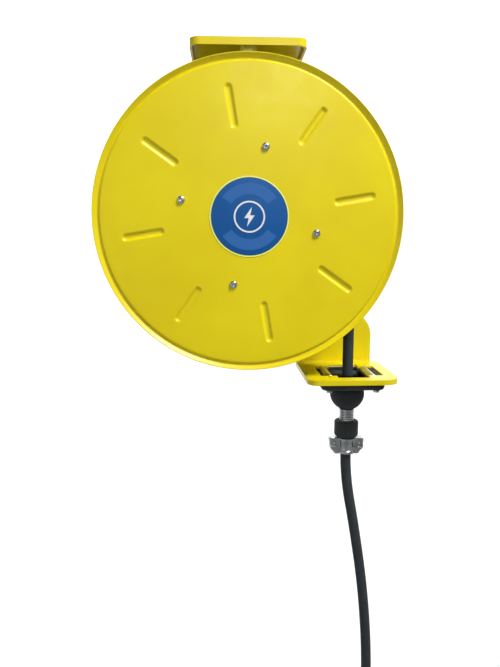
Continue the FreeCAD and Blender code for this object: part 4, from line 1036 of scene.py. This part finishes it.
@dataclass
class ButtonScrews:
    """The four socket button-head screws that hold the front disc."""

    circle: float = 82.3
    start: float = 76.5
    face: float = -65.0
    seat: float = 4.75
    rise: float = 2.6
    crown: float = 2.35
    socket_flats: float = 3.2
    socket_depth: float = 1.7
    shank: float = 2.45
    shank_end: float = -57.2
    sides: int = 36

    def socket_point(self, turn: float, scale: float) -> tuple[float, float]:
        """Return the socket's hexagon edge at an angle in radians, scaled."""
        sector = math.pi / 3
        reach = self.socket_flats / 2 / math.cos((turn % sector) - sector / 2) * scale
        return reach * math.cos(turn), reach * math.sin(turn)

    def rings(self, x: float, z: float) -> list[list[Point]]:
        """Return one screw's rings, from its shank's tip over the dome into the socket."""
        turns = [2 * math.pi * k / self.sides for k in range(self.sides)]
        round_section = [(self.shank, self.shank_end), (self.shank, self.face), (self.seat, self.face)]
        steps = 8
        for k in range(steps + 1):
            share = math.sin(math.pi / 2 * k / steps)
            fall = math.cos(math.pi / 2 * k / steps)
            radius = self.crown + (self.seat - self.crown) * fall
            round_section.append((radius, self.face - 0.25 - (self.rise - 0.25) * share))
        made = [[(x + r * math.cos(t), y, z + r * math.sin(t)) for t in turns]
                for r, y in round_section]
        top = self.face - self.rise
        for scale, y in ((1.12, top), (1.0, top + 0.12), (1.0, top + self.socket_depth),
                         (0.02, top + self.socket_depth + 0.35)):
            ring = []
            for t in turns:
                across, up = self.socket_point(t, scale)
                ring.append((x + across, y, z + up))
            made.append(ring)
        return made

    def build(self) -> list[bpy.types.Object]:
        """Make the four screws as one piece."""
        points: list[Point] = []
        faces: list[list[int]] = []
        for k in range(4):
            turn = math.radians(self.start + 90 * k)
            x, z = self.circle * math.cos(turn), DRUM_AXIS_Z + self.circle * math.sin(turn)
            more_points, more_faces = loft(self.rings(x, z))
            faces += [[len(points) + j for j in face] for face in more_faces]
            points += more_points
        screws = mesh_piece("disc_button_screws", points, faces)
        screws.data.set_sharp_from_angle(angle=math.radians(38))
        return [finish_piece(screws, Slot.ZINC, "drum", ["front_screws"])]


# --- cord clamps --------------------------------------------------------------------------


@dataclass
class ClampHalf:
    """One half of a two-screw cord clamp, die cast with beaded ends and tapered ears."""

    name: str
    node: str
    slot: Slot
    centre: tuple[float, float]
    top: float
    facing: int                 # -1 for the half in front of the cord, +1 behind it
    bore: float = 7.05
    gap: float = 0.5
    ear: float = 6.0
    ear_round: float = 1.6
    arc_steps: int = 20
    levels: tuple[tuple[float, float, float], ...] = (
        (0.0, 20.6, 10.9), (0.35, 21.9, 11.9), (1.6, 22.8, 12.2), (3.0, 23.0, 11.9),
        (3.8, 23.0, 10.9), (9.0, 22.4, 10.6), (15.0, 21.6, 10.6), (16.9, 20.0, 10.8),
        (17.6, 18.7, 11.7), (19.2, 17.8, 12.2), (20.9, 17.2, 11.9), (21.4, 16.4, 11.0),
    )

    def plan(self, wide: float, barrel: float) -> list[tuple[float, float]]:
        """Return the half's outline seen from above, about the cord's centre.

        Args:
            wide: Half the width over the ears, in millimetres.
            barrel: Radius of the barrel round the cord, in millimetres.

        Returns:
            The outline, with the same number of points at any size.
        """
        seat = math.asin(self.gap / self.bore)
        points = []
        for k in range(self.arc_steps + 1):
            turn = math.pi + seat + (math.pi - 2 * seat) * k / self.arc_steps
            points.append((self.bore * math.cos(turn), -self.bore * math.sin(turn)))
        corner = self.ear - self.ear_round
        points += [(wide, self.gap), (wide, corner), (wide - self.ear_round, self.ear)]
        shoulder = math.asin(self.ear / barrel)
        for k in range(self.arc_steps + 1):
            turn = shoulder + (math.pi - 2 * shoulder) * k / self.arc_steps
            points.append((barrel * math.cos(turn), barrel * math.sin(turn)))
        points += [(self.ear_round - wide, self.ear), (-wide, corner), (-wide, self.gap)]
        return points

    def build(self) -> list[bpy.types.Object]:
        """Make the half as a casting that changes section from end to end."""
        x0, y0 = self.centre
        rings = [
            [(x0 + x, y0 + self.facing * y, self.top - drop) for x, y in self.plan(wide, barrel)]
            for drop, wide, barrel in self.levels
        ]
        points, faces = loft(rings)
        if self.facing > 0:
            faces = [face[::-1] for face in faces]
        half = mesh_piece(self.name, points, faces)
        half.data.set_sharp_from_angle(angle=math.radians(40))
        return [finish_piece(half, self.slot, "cord_end", [self.node])]


def clamp_halves() -> list[ClampHalf]:
    """Return the zinc clamp under the ball stop and the blue one on the outlet box."""
    upper, lower = (CORD_X, CORD_Y), (171.5, -12.0)
    return [
        ClampHalf("stop_clamp_front", "clamp_front", Slot.ZINC, upper, -491.0, -1),
        ClampHalf("stop_clamp_back", "clamp_back", Slot.ZINC, upper, -491.0, 1),
        ClampHalf("box_clamp_near", "box_clamp_front", Slot.BOX_BLUE, lower, -940.0, -1),
        ClampHalf("box_clamp_far", "box_clamp_back", Slot.BOX_BLUE, lower, -940.0, 1),
    ]


# --- carried-over frame -------------------------------------------------------------------


@dataclass
class FrameDressing:
    """The CAD nodes that are shown as they are, each in its own finish."""

    nodes: dict[str, bpy.types.Object]

    def dress(self) -> list[bpy.types.Object]:
        """Give every node the finish of its slot."""
        pieces = []
        for _, node in sorted(self.nodes.items()):
            for k, old in enumerate(node.data.materials):
                slot = Slot(old.name.split(".")[0])
                node.data.materials[k] = FINISHES[slot].material()
            pieces.append(node)
        return pieces


# --- build --------------------------------------------------------------------------------


def report(title: str, pieces: Iterable[bpy.types.Object]) -> None:
    """Log each piece that was made."""
    for piece in pieces:
        log.info("%s: %s", title, piece.name)


def main() -> None:
    """Build the camera, the cords, the drum, the frame's finishes and the studio."""
    logging.basicConfig(level=logging.INFO, format="%(name)s %(message)s")
    studio = Studio()
    report("camera", [studio.make_camera()])
    clamps = [piece for half in clamp_halves() for piece in half.build()]
    report("cord clamps", clamps)
    report("hanging cord", HangingCord().build(clamps[2:]))
    report("stored cord", StoredCord().build())
    report("front disc", EndDisc("disc_front_pressing", "front_disc", -63.0, -1, 2.0).build())
    report("rear disc", EndDisc("disc_rear_pressing", "rear_disc", 23.0, 1, 30.0).build())
    report("label", DrumLabel().build())
    report("disc screws", ButtonScrews().build())
    report("frame", FrameDressing(frame["nodes"]).dress())
    report("studio", [studio.make_sweep()])
    studio.light_room()


if __name__ == "__main__":
    main()
